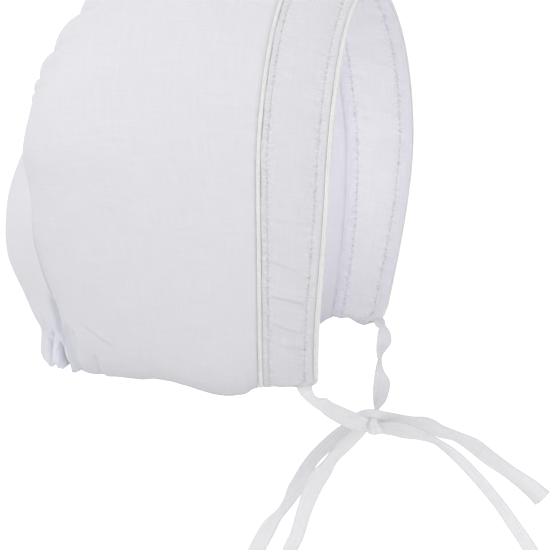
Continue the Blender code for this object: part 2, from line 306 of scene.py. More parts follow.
BACK_ROWS = (
    BackRow(down=0.0, depth=0.56, bulge=0.4),
    BackRow(down=0.3, depth=0.855, bulge=0.78),
    BackRow(down=0.6, depth=0.995, bulge=1.15),
    BackRow(down=0.72, depth=0.945, bulge=1.33),
    BackRow(down=0.82, depth=0.885, bulge=1.22),
    BackRow(down=1.0, depth=0.875, bulge=0.76),
)

CROWN_ROWS = (
    CrownRow(along=0.0, turn=112.0, puff=1.0, gather=1.0, sag=0.0),
    CrownRow(along=0.4, turn=109.0, puff=1.0, gather=1.0, sag=0.0),
    CrownRow(along=0.5, turn=103.0, puff=0.95, gather=0.9, sag=0.0),
    CrownRow(along=0.58, turn=88.0, puff=0.8, gather=0.5, sag=0.0),
    CrownRow(along=0.68, turn=76.0, puff=0.6, gather=0.2, sag=0.0),
    CrownRow(along=0.84, turn=72.0, puff=0.4, gather=0.0, sag=0.4),
    CrownRow(along=1.0, turn=70.0, puff=0.0, gather=0.0, sag=1.0),
)


@dataclass(frozen=True)
class BonnetForm:
    """The bonnet's outline: face opening, seams and back, in metres."""

    opening: Arch = Arch(57.6 * MM, 43.6 * MM, -4.4 * MM, -72.0 * MM, -125.0 * MM)
    seam: Arch = Arch(57.6 * MM, 46.6 * MM, -0.5 * MM, -72.0 * MM, -125.0 * MM)
    back_seam: Arch = Arch(38.0 * MM, 21.0 * MM, -9.0 * MM, -70.0 * MM, -130.5 * MM)
    opening_front: float = -45.0 * MM
    opening_lean: float = 1.3 * MM
    opening_bow: float = -2.4 * MM
    corner_set_back: float = 3.1 * MM
    set_back_from: float = 0.45
    corner_round: float = 5.0 * MM
    corner_rise: float = 3.6 * MM
    band_width: float = 22.4 * MM
    band_corner_width: float = 17.2 * MM
    narrowing_from: float = 0.3
    back_depth: float = 55.0 * MM
    back_bulge: float = 18.0 * MM

    def round_of_corner(self, down: np.ndarray) -> np.ndarray:
        """How far the round of a lower front corner lies behind the opening's edge.

        Args:
            down: Shares of the way down.

        Returns:
            Distances in Y.
        """
        height = self.opening.top - self.opening.low
        share = np.clip((down - 1.0) * height / self.corner_rise + 1.0, 0.0, 1.0)
        return self.corner_round * (1.0 - np.sqrt(1.0 - share**2))

    def edge_depth(self, down: np.ndarray) -> np.ndarray:
        """The face opening's edge without the round of its lower corners.

        Args:
            down: Shares of the way down.

        Returns:
            The edge's Y.
        """
        bow = self.opening_bow * 4 * down * (1 - down)
        set_back = self.corner_set_back * smooth((down - self.set_back_from) / (1 - self.set_back_from))
        return self.opening_front + self.opening_lean * down + bow + set_back

    def opening_depth(self, down: np.ndarray) -> np.ndarray:
        """Y of the face opening's edge at a share of the way down."""
        return self.edge_depth(down) + self.round_of_corner(down)

    def seam_depth(self, down: np.ndarray) -> np.ndarray:
        """Y of the seam between band and crown."""
        narrowed = smooth((down - self.narrowing_from) / (1 - self.narrowing_from))
        return self.edge_depth(down) + self.band_width + (self.band_corner_width - self.band_width) * narrowed

    def back_seam_depth(self, down: np.ndarray) -> np.ndarray:
        """Y of the seam between crown and back."""
        return self.back_depth * through(BACK_ROWS, "depth", down)

    def opening_line(self, lift: float = 0.0) -> Line:
        """The front edge of the band, its ends lifted off the lower edge."""
        return self.opening.line(self.opening_depth, lift)

    def seam_line(self) -> Line:
        """The seam between band and crown."""
        return self.seam.line(self.seam_depth)

    def back_line(self) -> Line:
        """The seam between crown and back."""
        return self.back_seam.line(self.back_seam_depth)


def away_from_middle(points: np.ndarray) -> np.ndarray:
    """Directions in XZ away from the bonnet's middle.

    Args:
        points: Points on the bonnet.

    Returns:
        Unit vectors with no Y.
    """
    outward = points - np.array([0.0, 0.0, MIDDLE])
    outward[..., 1] = 0.0
    return unit(outward)


def surface_normals(surface: Callable, along: np.ndarray, across: np.ndarray) -> np.ndarray:
    """Normals of a surface, facing away from the bonnet's middle.

    Args:
        surface: Gives points at two shares.
        along: First shares.
        across: Second shares.

    Returns:
        Unit normals.
    """
    step = NORMAL_STEP
    one = surface(along + step, across) - surface(along - step, across)
    two = surface(along, across + step) - surface(along, across - step)
    normals = unit(np.cross(one, two))
    outward = surface(along, across) - np.array([0.0, 0.0, MIDDLE])
    inward = (outward * normals).sum(axis=-1, keepdims=True) < 0
    return np.where(inward, -normals, normals)


# Making meshes


def deselect() -> None:
    """Deselects every object."""
    bpy.ops.object.select_all(action="DESELECT")


def choose(piece: bpy.types.Object) -> None:
    """Makes a piece the active object and the only selected one.

    Args:
        piece: The piece.
    """
    deselect()
    piece.select_set(True)
    bpy.context.view_layer.objects.active = piece


def edit_whole(piece: bpy.types.Object, operator: Callable, **options: object) -> None:
    """Runs one of edit mode's operators on all of a piece.

    Args:
        piece: The mesh object.
        operator: The operator.
        options: Its settings.
    """
    choose(piece)
    bpy.ops.object.mode_set(mode="EDIT")
    bpy.ops.mesh.select_all(action="SELECT")
    operator(**options)
    bpy.ops.object.mode_set(mode="OBJECT")


def finish_piece(piece: bpy.types.Object, name: str, material: bpy.types.Material) -> None:
    """Names, dresses and smooths a piece and lets it ride on the bonnet.

    Args:
        piece: The mesh object.
        name: Its name.
        material: Its material.
    """
    piece.name = name
    piece.data.name = name
    piece.data.materials.clear()
    piece.data.materials.append(material)
    piece.data.polygons.foreach_set("use_smooth", [True] * len(piece.data.polygons))
    if PAINTED_SHADE not in piece.data.attributes:
        store(piece, PAINTED_SHADE, np.ones((len(piece.data.vertices), 3)))
    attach(piece, BODY)
    LOG.info("%s: %d faces", name, len(piece.data.polygons))


def store(piece: bpy.types.Object, name: str, values: np.ndarray) -> None:
    """Stores two or three values on each of a mesh's points.

    Args:
        piece: The mesh object.
        name: The attribute's name, WEAVE_WAY for distances over the cloth or the painted-shade attribute for
            a colour of painted shade.
        values: The values, with the points in the mesh's order.
    """
    rows = np.zeros((len(piece.data.vertices), 3), np.float32)
    rows[:, : values.shape[-1]] = values.reshape(-1, values.shape[-1])
    made = piece.data.attributes.new(name, "FLOAT_VECTOR", "POINT")
    made.data.foreach_set("vector", rows.reshape(-1))


def shade_inside(piece: bpy.types.Object, tint: tuple[float, float, float]) -> None:
    """Multiplies painted shade into the inner side of a walled piece, whose points come second.

    Args:
        piece: The mesh object, after its wall was made.
        tint: The colour of the inner side's painted shade, to multiply by.
    """
    count = len(piece.data.vertices)
    tints = np.empty(count * 3, np.float32)
    made = piece.data.attributes[PAINTED_SHADE].data
    made.foreach_get("vector", tints)
    tints = tints.reshape(count, 3)
    tints[count // 2 :] *= tint
    made.foreach_set("vector", tints.reshape(-1))


def grid_piece(points: np.ndarray, ways: np.ndarray) -> bpy.types.Object:
    """A grid primitive whose points are moved onto a surface, facing outwards.

    Args:
        points: Rows and columns of points.
        ways: Distances along and across the cloth, for each point.

    Returns:
        The new object.
    """
    rows, columns = points.shape[:2]
    deselect()
    bpy.ops.mesh.primitive_grid_add(x_subdivisions=columns - 1, y_subdivisions=rows - 1, size=1.0)
    piece = bpy.context.object
    piece.data.vertices.foreach_set("co", points.reshape(-1).astype(np.float32))
    piece.data.update()
    store(piece, WEAVE_WAY, ways)
    inside = Vector((0.0, 0.0, MIDDLE))
    facing = sum(face.normal.dot(face.center - inside) for face in piece.data.polygons)
    if facing < 0:
        edit_whole(piece, bpy.ops.mesh.flip_normals)
    return piece


def wall_of(piece: bpy.types.Object, thickness: float) -> None:
    """Gives a surface a cloth's thickness, inwards, and applies it.

    Args:
        piece: The surface.
        thickness: The cloth's thickness, negative where it grows outwards.
    """
    choose(piece)
    wall = piece.modifiers.new("cloth", "SOLIDIFY")
    wall.thickness = thickness
    wall.offset = -1.0
    wall.use_even_offset = False
    bpy.ops.object.modifier_apply(modifier=wall.name)


def mesh_piece(points: np.ndarray, faces: np.ndarray, ways: np.ndarray) -> bpy.types.Object:
    """A mesh object from points and four-sided faces, facing outwards.

    Args:
        points: Its points.
        faces: Four indices for each face.
        ways: Distances along and around the cloth, for each point.

    Returns:
        The new object.
    """
    mesh = bpy.data.meshes.new("piece")
    mesh.from_pydata(points.tolist(), [], faces.tolist())
    piece = bpy.data.objects.new("piece", mesh)
    bpy.context.scene.collection.objects.link(piece)
    store(piece, WEAVE_WAY, ways)
    edit_whole(piece, bpy.ops.mesh.normals_make_consistent, inside=False)
    return piece


def tube_faces(rings: int, sides: int) -> np.ndarray:
    """Four-sided faces of a closed tube whose two ends are flat.

    Args:
        rings: How many rings of points it has.
        sides: How many points each ring has, an even number.

    Returns:
        Four point numbers for each face.
    """
    index = np.arange(rings * sides).reshape(rings, sides)
    beside = np.roll(index, -1, axis=1)
    walls = np.stack([index[:-1], beside[:-1], beside[1:], index[1:]], axis=-1).reshape(-1, 4)
    place = np.arange(sides // 2 - 1)
    cap = np.stack([place, sides - 1 - place, sides - 2 - place, place + 1], axis=-1)
    return np.concatenate([walls, index[0][cap], index[-1][cap[:, (0, 3, 2, 1)]]])


def tube_of(rings: np.ndarray, ways: np.ndarray) -> bpy.types.Object:
    """A closed tube through rings of points.

    Args:
        rings: For each ring its points, in order round the tube.
        ways: Distances along and around, for each point.

    Returns:
        The new object, facing outwards.
    """
    return mesh_piece(rings.reshape(-1, 3), tube_faces(*rings.shape[:2]), ways)


# Finishes


class NodeSheet:
    """Adds and links nodes of one tree with few words."""

    def __init__(self, tree: bpy.types.NodeTree) -> None:
        """Keeps the tree, which is a material's, a node group's or the world's."""
        self.tree = tree

    def fill(self, node: bpy.types.Node, values: dict[str | int, object]) -> None:
        """Links or sets a node's inputs.

        Args:
            node: The node.
            values: A socket or a plain value for each input's name or number.
        """
        for name, value in values.items():
            if isinstance(value, bpy.types.NodeSocket):
                self.tree.links.new(value, node.inputs[name])
            else:
                node.inputs[name].default_value = value

    def add(self, kind: str, values: dict[str | int, object], **settings: object) -> bpy.types.Node:
        """Adds a node.

        Args:
            kind: The node's type.
            values: A socket or a plain value for each input's name or number.
            settings: Its properties.

        Returns:
            The node.
        """
        node = self.tree.nodes.new(kind)
        for name, value in settings.items():
            setattr(node, name, value)
        self.fill(node, values)
        return node

    def math(self, operation: str, *values: object) -> bpy.types.NodeSocket:
        """Adds a Math node over sockets and numbers, and gives its output."""
        return self.add("ShaderNodeMath", dict(enumerate(values)), operation=operation).outputs[0]

    def attribute(self, name: str) -> bpy.types.NodeSocket:
        """Adds a node that reads an attribute of the mesh's points, and gives its vector."""
        node = self.add("ShaderNodeAttribute", {}, attribute_name=name, attribute_type="GEOMETRY")
        return node.outputs["Vector"]

    def times(self, first: object, second: object) -> bpy.types.Node:
        """Adds a Mix node that multiplies two colours."""
        colours = {"Factor": 1.0, "A": first, "B": second}
        return self.add("ShaderNodeMix", colours, data_type="RGBA", blend_type="MULTIPLY")

    def stretched_noise(self, ways: tuple, along_scale: float, across_scale: float) -> bpy.types.NodeSocket:
        """Noise that is drawn out along one way of the cloth.

        Args:
            ways: Sockets with the distances along and across the cloth.
            along_scale: Noise cells for each metre along.
            across_scale: Noise cells for each metre across.

        Returns:
            Values from 0 to 1.
        """
        scaled = {
            "X": self.math("MULTIPLY", ways[0], along_scale),
            "Y": self.math("MULTIPLY", ways[1], across_scale),
        }
        place = self.add("ShaderNodeCombineXYZ", scaled).outputs["Vector"]
        values = {"Scale": 1.0, "Detail": 2.0, "Vector": place}
        return self.add("ShaderNodeTexNoise", values, noise_dimensions="3D").outputs["Fac"]


class ClothGroup(NodeSheet):
    """A node group that reads the cloth's ways and gives values that change over it."""

    def __init__(self, name: str, inputs: dict[str, float], outputs: tuple[str, ...]) -> None:
        """Makes the group with its sockets.

        Args:
            name: The group's name.
            inputs: Name and value of each input besides Way.
            outputs: Names of its outputs.
        """
        self.group = bpy.data.node_groups.new(name, "ShaderNodeTree")
        super().__init__(self.group)
        self.group.interface.new_socket(name="Way", in_out="INPUT", socket_type="NodeSocketVector")
        for label, value in inputs.items():
            made = self.group.interface.new_socket(name=label, in_out="INPUT", socket_type="NodeSocketFloat")
            made.default_value = value
        for label in outputs:
            self.group.interface.new_socket(name=label, in_out="OUTPUT", socket_type="NodeSocketFloat")
        self.given = self.add("NodeGroupInput", {}).outputs
        self.result = self.add("NodeGroupOutput", {})
        self.ways = self.add("ShaderNodeSeparateXYZ", {0: self.given["Way"]}).outputs


def weave_group() -> bpy.types.NodeTree:
    """Plain weave with uneven threads: gives a height and a shade around 1.

    Returns:
        The node group.
    """
    sheet = ClothGroup("plain_weave", {"Pitch": 0.36 * MM, "Slub": 0.05}, ("Height", "Shade"))
    way = sheet.ways["X"], sheet.ways["Y"]
    turns = sheet.math("DIVIDE", 2 * math.pi, sheet.given["Pitch"])
    threads = [sheet.math("SINE", sheet.math("MULTIPLY", one, turns)) for one in way]
    crossing = sheet.math("MULTIPLY", *threads)
    long = 90.0
    thin = 1500.0
    patch = 45.0
    upright = sheet.stretched_noise(way, thin, long)
    level = sheet.stretched_noise(way, long, thin)
    slubs = sheet.math("SUBTRACT", sheet.math("ADD", upright, level), 1.0)
    broad = sheet.math("SUBTRACT", sheet.stretched_noise(way, patch, patch), 0.5)
    uneven = sheet.math("ADD", slubs, sheet.math("MULTIPLY", broad, 0.35))
    shade = sheet.math("ADD", 1.0, sheet.math("MULTIPLY", uneven, sheet.given["Slub"]))
    height = sheet.math("ADD", sheet.math("MULTIPLY", crossing, 0.35), sheet.math("MULTIPLY", slubs, 1.4))
    sheet.fill(sheet.result, {"Height": height, "Shade": shade})
    return sheet.group


def needle_hole_group() -> bpy.types.NodeTree:
    """Needle holes between the stitches of a band's rows, and the crimp of the cloth beside them.

    Mask is 1 in a hole and 0 on plain cloth. Crimp lies around 0.

    Returns:
        The node group.
    """
    inputs = dict.fromkeys(("Pitch", "Edge Row", "Seam Row", "Hem Row", "Half Length", "Hole"), 1.0 * MM)
    sheet = ClothGroup("needle_holes", inputs | {"Crimp Reach": 2.6 * MM}, ("Mask", "Crimp"))
    given = sheet.given
    ways = sheet.ways
    above = sheet.math("SUBTRACT", given["Half Length"], sheet.math("ABSOLUTE", ways["X"]))
    rows = (
        (ways["X"], ways["Y"], "Edge Row"),
        (ways["X"], ways["Z"], "Seam Row"),
        (ways["Y"], above, "Hem Row"),
    )
    masks = []
    zones = []
    for along, beside, row in rows:
        turns = sheet.math("ADD", sheet.math("DIVIDE", along, given["Pitch"]), 0.5)
        off_hole = sheet.math("SUBTRACT", sheet.math("FRACT", turns), 0.5)
        to_hole = sheet.math("MULTIPLY", off_hole, given["Pitch"])
        to_row = sheet.math("SUBTRACT", beside, given[row])
        squares = sheet.math("ADD", sheet.math("POWER", to_hole, 2.0), sheet.math("POWER", to_row, 2.0))
        away = sheet.math("DIVIDE", sheet.math("SQRT", squares), given["Hole"])
        masks.append(sheet.math("MAXIMUM", sheet.math("SUBTRACT", 1.0, away), 0.0))
        reach = sheet.math("DIVIDE", sheet.math("ABSOLUTE", to_row), given["Crimp Reach"])
        zones.append(sheet.math("MAXIMUM", sheet.math("SUBTRACT", 1.0, reach), 0.0))
    puckers = sheet.stretched_noise((ways["X"], ways["Y"]), 1300.0, 520.0)
    zone = sheet.math("MAXIMUM", zones[0], zones[1])
    crimp = sheet.math("MULTIPLY", sheet.math("SUBTRACT", puckers, 0.5), zone)
    mask = sheet.math("MAXIMUM", sheet.math("MAXIMUM", masks[0], masks[1]), masks[2])
    sheet.fill(sheet.result, {"Mask": mask, "Crimp": crimp})
    return sheet.group


@dataclass(frozen=True)
class ClothFinish:
    """A woven cotton finish."""

    name: str
    colour: tuple[float, float, float]
    pitch: float = 0.36 * MM
    slub: float = 0.05
    relief: float = 0.05 * MM
    roughness: float = 0.86
    sheen: float = 0.12
    glow: float = 0.35

    def material(self, weave: bpy.types.NodeTree) -> bpy.types.Material:
        """Makes the material.

        Args:
            weave: The weave's node group.

        Returns:
            The material.
        """
        made = bpy.data.materials.new(self.name)
        made.use_nodes = True
        sheet = NodeSheet(made.node_tree)
        woven = sheet.add("ShaderNodeGroup", {}, node_tree=weave)
        sheet.fill(woven, {"Way": sheet.attribute(WEAVE_WAY), "Pitch": self.pitch, "Slub": self.slub})
        tint = sheet.times((*self.colour, 1.0), woven.outputs["Shade"])
        # multiplies in the painted shade stored on the points
        shaded = sheet.times(tint.outputs["Result"], sheet.attribute(PAINTED_SHADE))
        height = {"Distance": self.relief, "Height": woven.outputs["Height"]}
        relief = sheet.add("ShaderNodeBump", height)
        values = {
            "Base Color": shaded.outputs["Result"],
            "Normal": relief.outputs["Normal"],
            "Roughness": self.roughness,
            "Metallic": 0.0,
            "Specular IOR Level": 0.3,
            "Sheen Weight": self.sheen,
            "Sheen Roughness": 0.5,
            "Subsurface Weight": self.glow,
            "Subsurface Radius": (1.0, 1.0, 1.1),
            "Subsurface Scale": 1.2 * MM,
        }
        sheet.fill(made.node_tree.nodes["Principled BSDF"], values)
        made.diffuse_color = (*self.colour, 1.0)
        return made


@dataclass(frozen=True)
class Seams:
    """The band's stitching: its pitch, and how far each row lies from its edge."""

    pitch: float = 2.3 * MM
    hole: float = 0.32 * MM
    seam_row: float = 2.3 * MM
    edge_row: float = 3.1 * MM
    hem_row: float = 1.5 * MM
    shadow: float = 0.3
    dent: float = 2.5
    crimp_shade: float = 0.6
    crimp_height: float = 9.0

    def pierce(self, made: bpy.types.Material, holes: bpy.types.NodeTree, half_length: float) -> None:
        """Adds needle holes to a band's material, as dark dents.

        Args:
            made: The material, as ClothFinish makes it.
            holes: The needle holes' node group.
            half_length: Half the band's length along its seam.
        """
        sheet = NodeSheet(made.node_tree)
        found = {}
        for node in made.node_tree.nodes:
            found.setdefault(node.bl_idname, node)
        woven = found["ShaderNodeGroup"]
        inputs = {
            "Way": woven.inputs["Way"].links[0].from_socket,
            "Pitch": self.pitch,
            "Edge Row": self.edge_row,
            "Seam Row": self.seam_row,
            "Hem Row": self.hem_row,
            "Half Length": half_length,
            "Hole": self.hole,
        }
        pierced = sheet.add("ShaderNodeGroup", {}, node_tree=holes)
        sheet.fill(pierced, inputs)
        mask = pierced.outputs["Mask"]
        crimp = pierced.outputs["Crimp"]
        lit = sheet.math("SUBTRACT", 1.0, sheet.math("MULTIPLY", mask, self.shadow))
        lit = sheet.math("ADD", lit, sheet.math("MULTIPLY", crimp, self.crimp_shade))
        sheet.fill(found["ShaderNodeMix"], {"B": sheet.math("MULTIPLY", woven.outputs["Shade"], lit)})
        dented = sheet.math("SUBTRACT", woven.outputs["Height"], sheet.math("MULTIPLY", mask, self.dent))
        height = sheet.math("ADD", dented, sheet.math("MULTIPLY", crimp, self.crimp_height))
        sheet.fill(found["ShaderNodeBump"], {"Height": height})


COTTON = ClothFinish("white_batiste", (0.75, 0.75, 0.785), slub=0.06)
# painted light: the crown's batiste made lighter for the doubled band, which would otherwise render darker
# than the crown; its stronger slub is its own
BAND_COTTON_LIGHTENED = ClothFinish("band_batiste_lightened", (0.80, 0.79, 0.842), slub=0.09)
TAPE_COTTON = ClothFinish("tape_cotton", (0.90, 0.89, 0.912), slub=0.13)
IVORY_SATIN = ClothFinish(
    "ivory_piping", (0.92, 0.915, 0.905), slub=0.24, relief=0.09 * MM, roughness=0.6, sheen=0.2
)
WHITE_THREAD = ClothFinish("white_thread", (0.80, 0.795, 0.82), roughness=0.7)


# Cloth pieces


@dataclass
class ClothPiece:
    """What every sewn cloth piece shares: the bonnet's form, its material and its thickness."""

    form: BonnetForm
    finish: bpy.types.Material
    wall: float = 0.5 * MM


class NapeTuck(NamedTuple):
    """How deep the seam between crown and back is drawn in, at a height above the lower edge."""

    height: float
    tuck: float


NAPE_TUCKS = (
    NapeTuck(height=0.0 * MM, tuck=0.9 * MM),
    NapeTuck(height=5.0 * MM, tuck=1.4 * MM),
    NapeTuck(height=9.0 * MM, tuck=1.9 * MM),
    NapeTuck(height=14.0 * MM, tuck=1.9 * MM),
    NapeTuck(height=20.0 * MM, tuck=1.3 * MM),
    NapeTuck(height=26.0 * MM, tuck=0.5 * MM),
    NapeTuck(height=32.0 * MM, tuck=0.0 * MM),
)

TUCK_FORWARDS = 0.9
FOLD_BEND = 3.0 * MM


def seam_tuck(form: BonnetForm, share: np.ndarray) -> np.ndarray:
    """How far the seam between crown and back is drawn in near the nape.

    Args:
        form: The bonnet's form.
        share: Shares along the seam, from -1 to 1.

    Returns:
        Offsets from the seam's line.
    """
    rear = form.back_line()
    above = (1 - np.abs(share)) * rear.length / 2
    inwards = -away_from_middle(rear.at(share))
    inwards[..., 1] -= TUCK_FORWARDS
    return unit(inwards) * through(NAPE_TUCKS, "tuck", above)[..., None]


def small_folds(away: np.ndarray, above: np.ndarray, pitch: float, bend: float) -> np.ndarray:
    """Small upright folds beside the back's seam, which wander a little.

    Args:
        away: Distances from the seam.
        above: Heights above the lower edge.
        pitch: Distance from fold to fold.
        bend: How far they wander, in radians.

    Returns:
        Heights from -1 to 1.
    """
    return np.sin(2 * math.pi * away / pitch + bend * np.sin(above / FOLD_BEND))


class Crease(NamedTuple):
    """A crease near the nape, from its lower to its upper end, and how far the cloth rises past it.

    An end is its distance from the back's seam and its height above the lower edge, in millimetres.
    """

    low: tuple[float, float]
    high: tuple[float, float]
    depth: float
    width: float
    lift: float = 0.0
    shade: float = 0.0

    def places(self, away: np.ndarray, above: np.ndarray) -> tuple[np.ndarray, np.ndarray]:
        """Where places on the cloth lie to the crease.

        Args:
            away: Distances from the back's seam.
            above: Heights above the lower edge.

        Returns:
            How much of the crease is present, and the distance beside it.
        """
        low = np.array(self.low) * MM
        run = np.array(self.high) * MM - low
        length = math.hypot(*run)
        way = run / length
        share = ((away - low[0]) * way[0] + (above - low[1]) * way[1]) / length
        beside = (away - low[0]) * way[1] - (above - low[1]) * way[0]
        return smooth((share + 0.15) / 0.3) * smooth((1.15 - share) / 0.3), beside


CROWN_CREASES = (
    Crease(low=(7.0, -2.0), high=(6.5, 17.0), depth=0.9 * MM, width=4.6 * MM),
    Crease(low=(14.0, 11.0), high=(13.5, 17.0), depth=0.7 * MM, width=0.7 * MM, lift=0.25 * MM, shade=0.1),
    Crease(low=(24.0, -1.0), high=(24.5, 8.0), depth=0.5 * MM, width=2.2 * MM, lift=0.3 * MM, shade=0.05),
    Crease(low=(34.0, 12.5), high=(21.5, 20.0), depth=0.4 * MM, width=0.7 * MM, lift=0.25 * MM, shade=0.04),
)

BACK_CREASES = (
    Crease(low=(2.0, 12.0), high=(1.5, 28.0), depth=2.0 * MM, width=1.1 * MM, lift=0.4 * MM),
    Crease(low=(1.2, -1.0), high=(4.2, 8.5), depth=2.4 * MM, width=0.55 * MM, lift=1.0 * MM, shade=0.75),
    Crease(low=(2.2, 8.0), high=(2.2, 14.0), depth=1.4 * MM, width=0.5 * MM, lift=0.4 * MM, shade=0.45),
    Crease(low=(6.2, -1.0), high=(10.0, 8.5), depth=1.1 * MM, width=0.7 * MM, lift=0.6 * MM, shade=0.2),
    Crease(low=(8.2, 9.0), high=(6.0, 14.0), depth=0.8 * MM, width=0.6 * MM, lift=0.4 * MM, shade=0.15),
)


def creased(creases: tuple[Crease, ...], away: np.ndarray, above: np.ndarray) -> np.ndarray:
    """Height of creases over a cloth.

    Args:
        creases: The creases.
        away: Distances from the back's seam.
        above: Heights above the lower edge.

    Returns:
        Distances outwards.
    """
    total = np.zeros(np.broadcast(away, above).shape)
    for crease in creases:
        present, beside = crease.places(away, above)
        risen = crease.lift * hill(beside - 1.7 * crease.width, 1.1 * crease.width)
        total += present * (risen - crease.depth * hill(beside, crease.width))
    return total


def crease_shade(creases: tuple[Crease, ...], away: np.ndarray, above: np.ndarray) -> np.ndarray:
    """What the cloth's colour is multiplied by in its creases, where little light comes.

    Args:
        creases: The creases.
        away: Distances from the back's seam.
        above: Heights above the lower edge.

    Returns:
        Shades, with one more axis.
    """
    light = np.ones(np.broadcast(away, above).shape)
    for crease in creases:
        present, beside = crease.places(away, above)
        light *= 1 - crease.shade * present * hill(beside, 0.55 * crease.width)
    return light[..., None]


# painted shade by the back's seam: bluish shade in the nape's folds, darker stripes in the small folds'
# valleys, and a painted shadow in the seam's ditch
NAPE_SHADE_BLUE = np.array([0.035, 0.045, 0.095])
SEAM_SHADOW = np.array([0.60, 0.60, 0.52])
SEAM_SHADOW_REACH = 0.42 * MM
SEAM_SHADOW_TO = 48.0 * MM
SEAM_SHADOW_FADE = 12.0 * MM
NAPE_TO = 10.0 * MM
NAPE_FADE = 20.0 * MM
FOLD_SHADE = 0.035
FOLD_SHADE_PITCH = 1.6 * MM
# painted shade, a little purple, on the lining's margins over the seam allowances
LINING_SHADE = np.array([0.04, 0.05, 0.015])
# painted shade on the crown's inner side, which the crown keeps from the light
INNER_SHADE = (0.94, 0.925, 0.945)


def nape_shade(away: np.ndarray, above: np.ndarray, reach: float) -> np.ndarray:
    """Painted shade on the thin cloth by the back's seam: bluish in the nape's drawn folds, a painted shadow
    in the seam itself.

    Args:
        away: Distances from the back's seam.
        above: Heights above the lower edge.
        reach: How far from the seam the bluish painted shade goes.

    Returns:
        Colours to multiply by, with one more axis.
    """
    low = faded(above, NAPE_TO, NAPE_FADE)
    blue = low * faded(away, reach * 0.4, reach * 0.9)
    dark = hill(away, SEAM_SHADOW_REACH) * faded(above, SEAM_SHADOW_TO, SEAM_SHADOW_FADE)
    drawn = FOLD_SHADE * blue * small_folds(away, above, FOLD_SHADE_PITCH, 0.9)
    return 1.0 + NAPE_SHADE_BLUE * blue[..., None] - SEAM_SHADOW * dark[..., None] - drawn[..., None]


class Gather(NamedTuple):
    """A valley of the crown's gathers: its place along the back's seam, and the height of the puffs there."""

    way: float
    height: float


GATHERS = (
    Gather(way=-56.5 * MM, height=0.0 * MM),
    Gather(way=-53.0 * MM, height=0.9 * MM),
    Gather(way=-48.5 * MM, height=1.6 * MM),
    Gather(way=-38.8 * MM, height=2.1 * MM),
    Gather(way=-25.5 * MM, height=2.6 * MM),
    Gather(way=-12.5 * MM, height=2.5 * MM),
    Gather(way=-1.0 * MM, height=1.9 * MM),
    Gather(way=11.0 * MM, height=1.8 * MM),
    Gather(way=23.0 * MM, height=2.0 * MM),
    Gather(way=35.0 * MM, height=1.8 * MM),
    Gather(way=45.5 * MM, height=1.6 * MM),
    Gather(way=53.0 * MM, height=0.9 * MM),
    Gather(way=57.0 * MM, height=0.0 * MM),
)


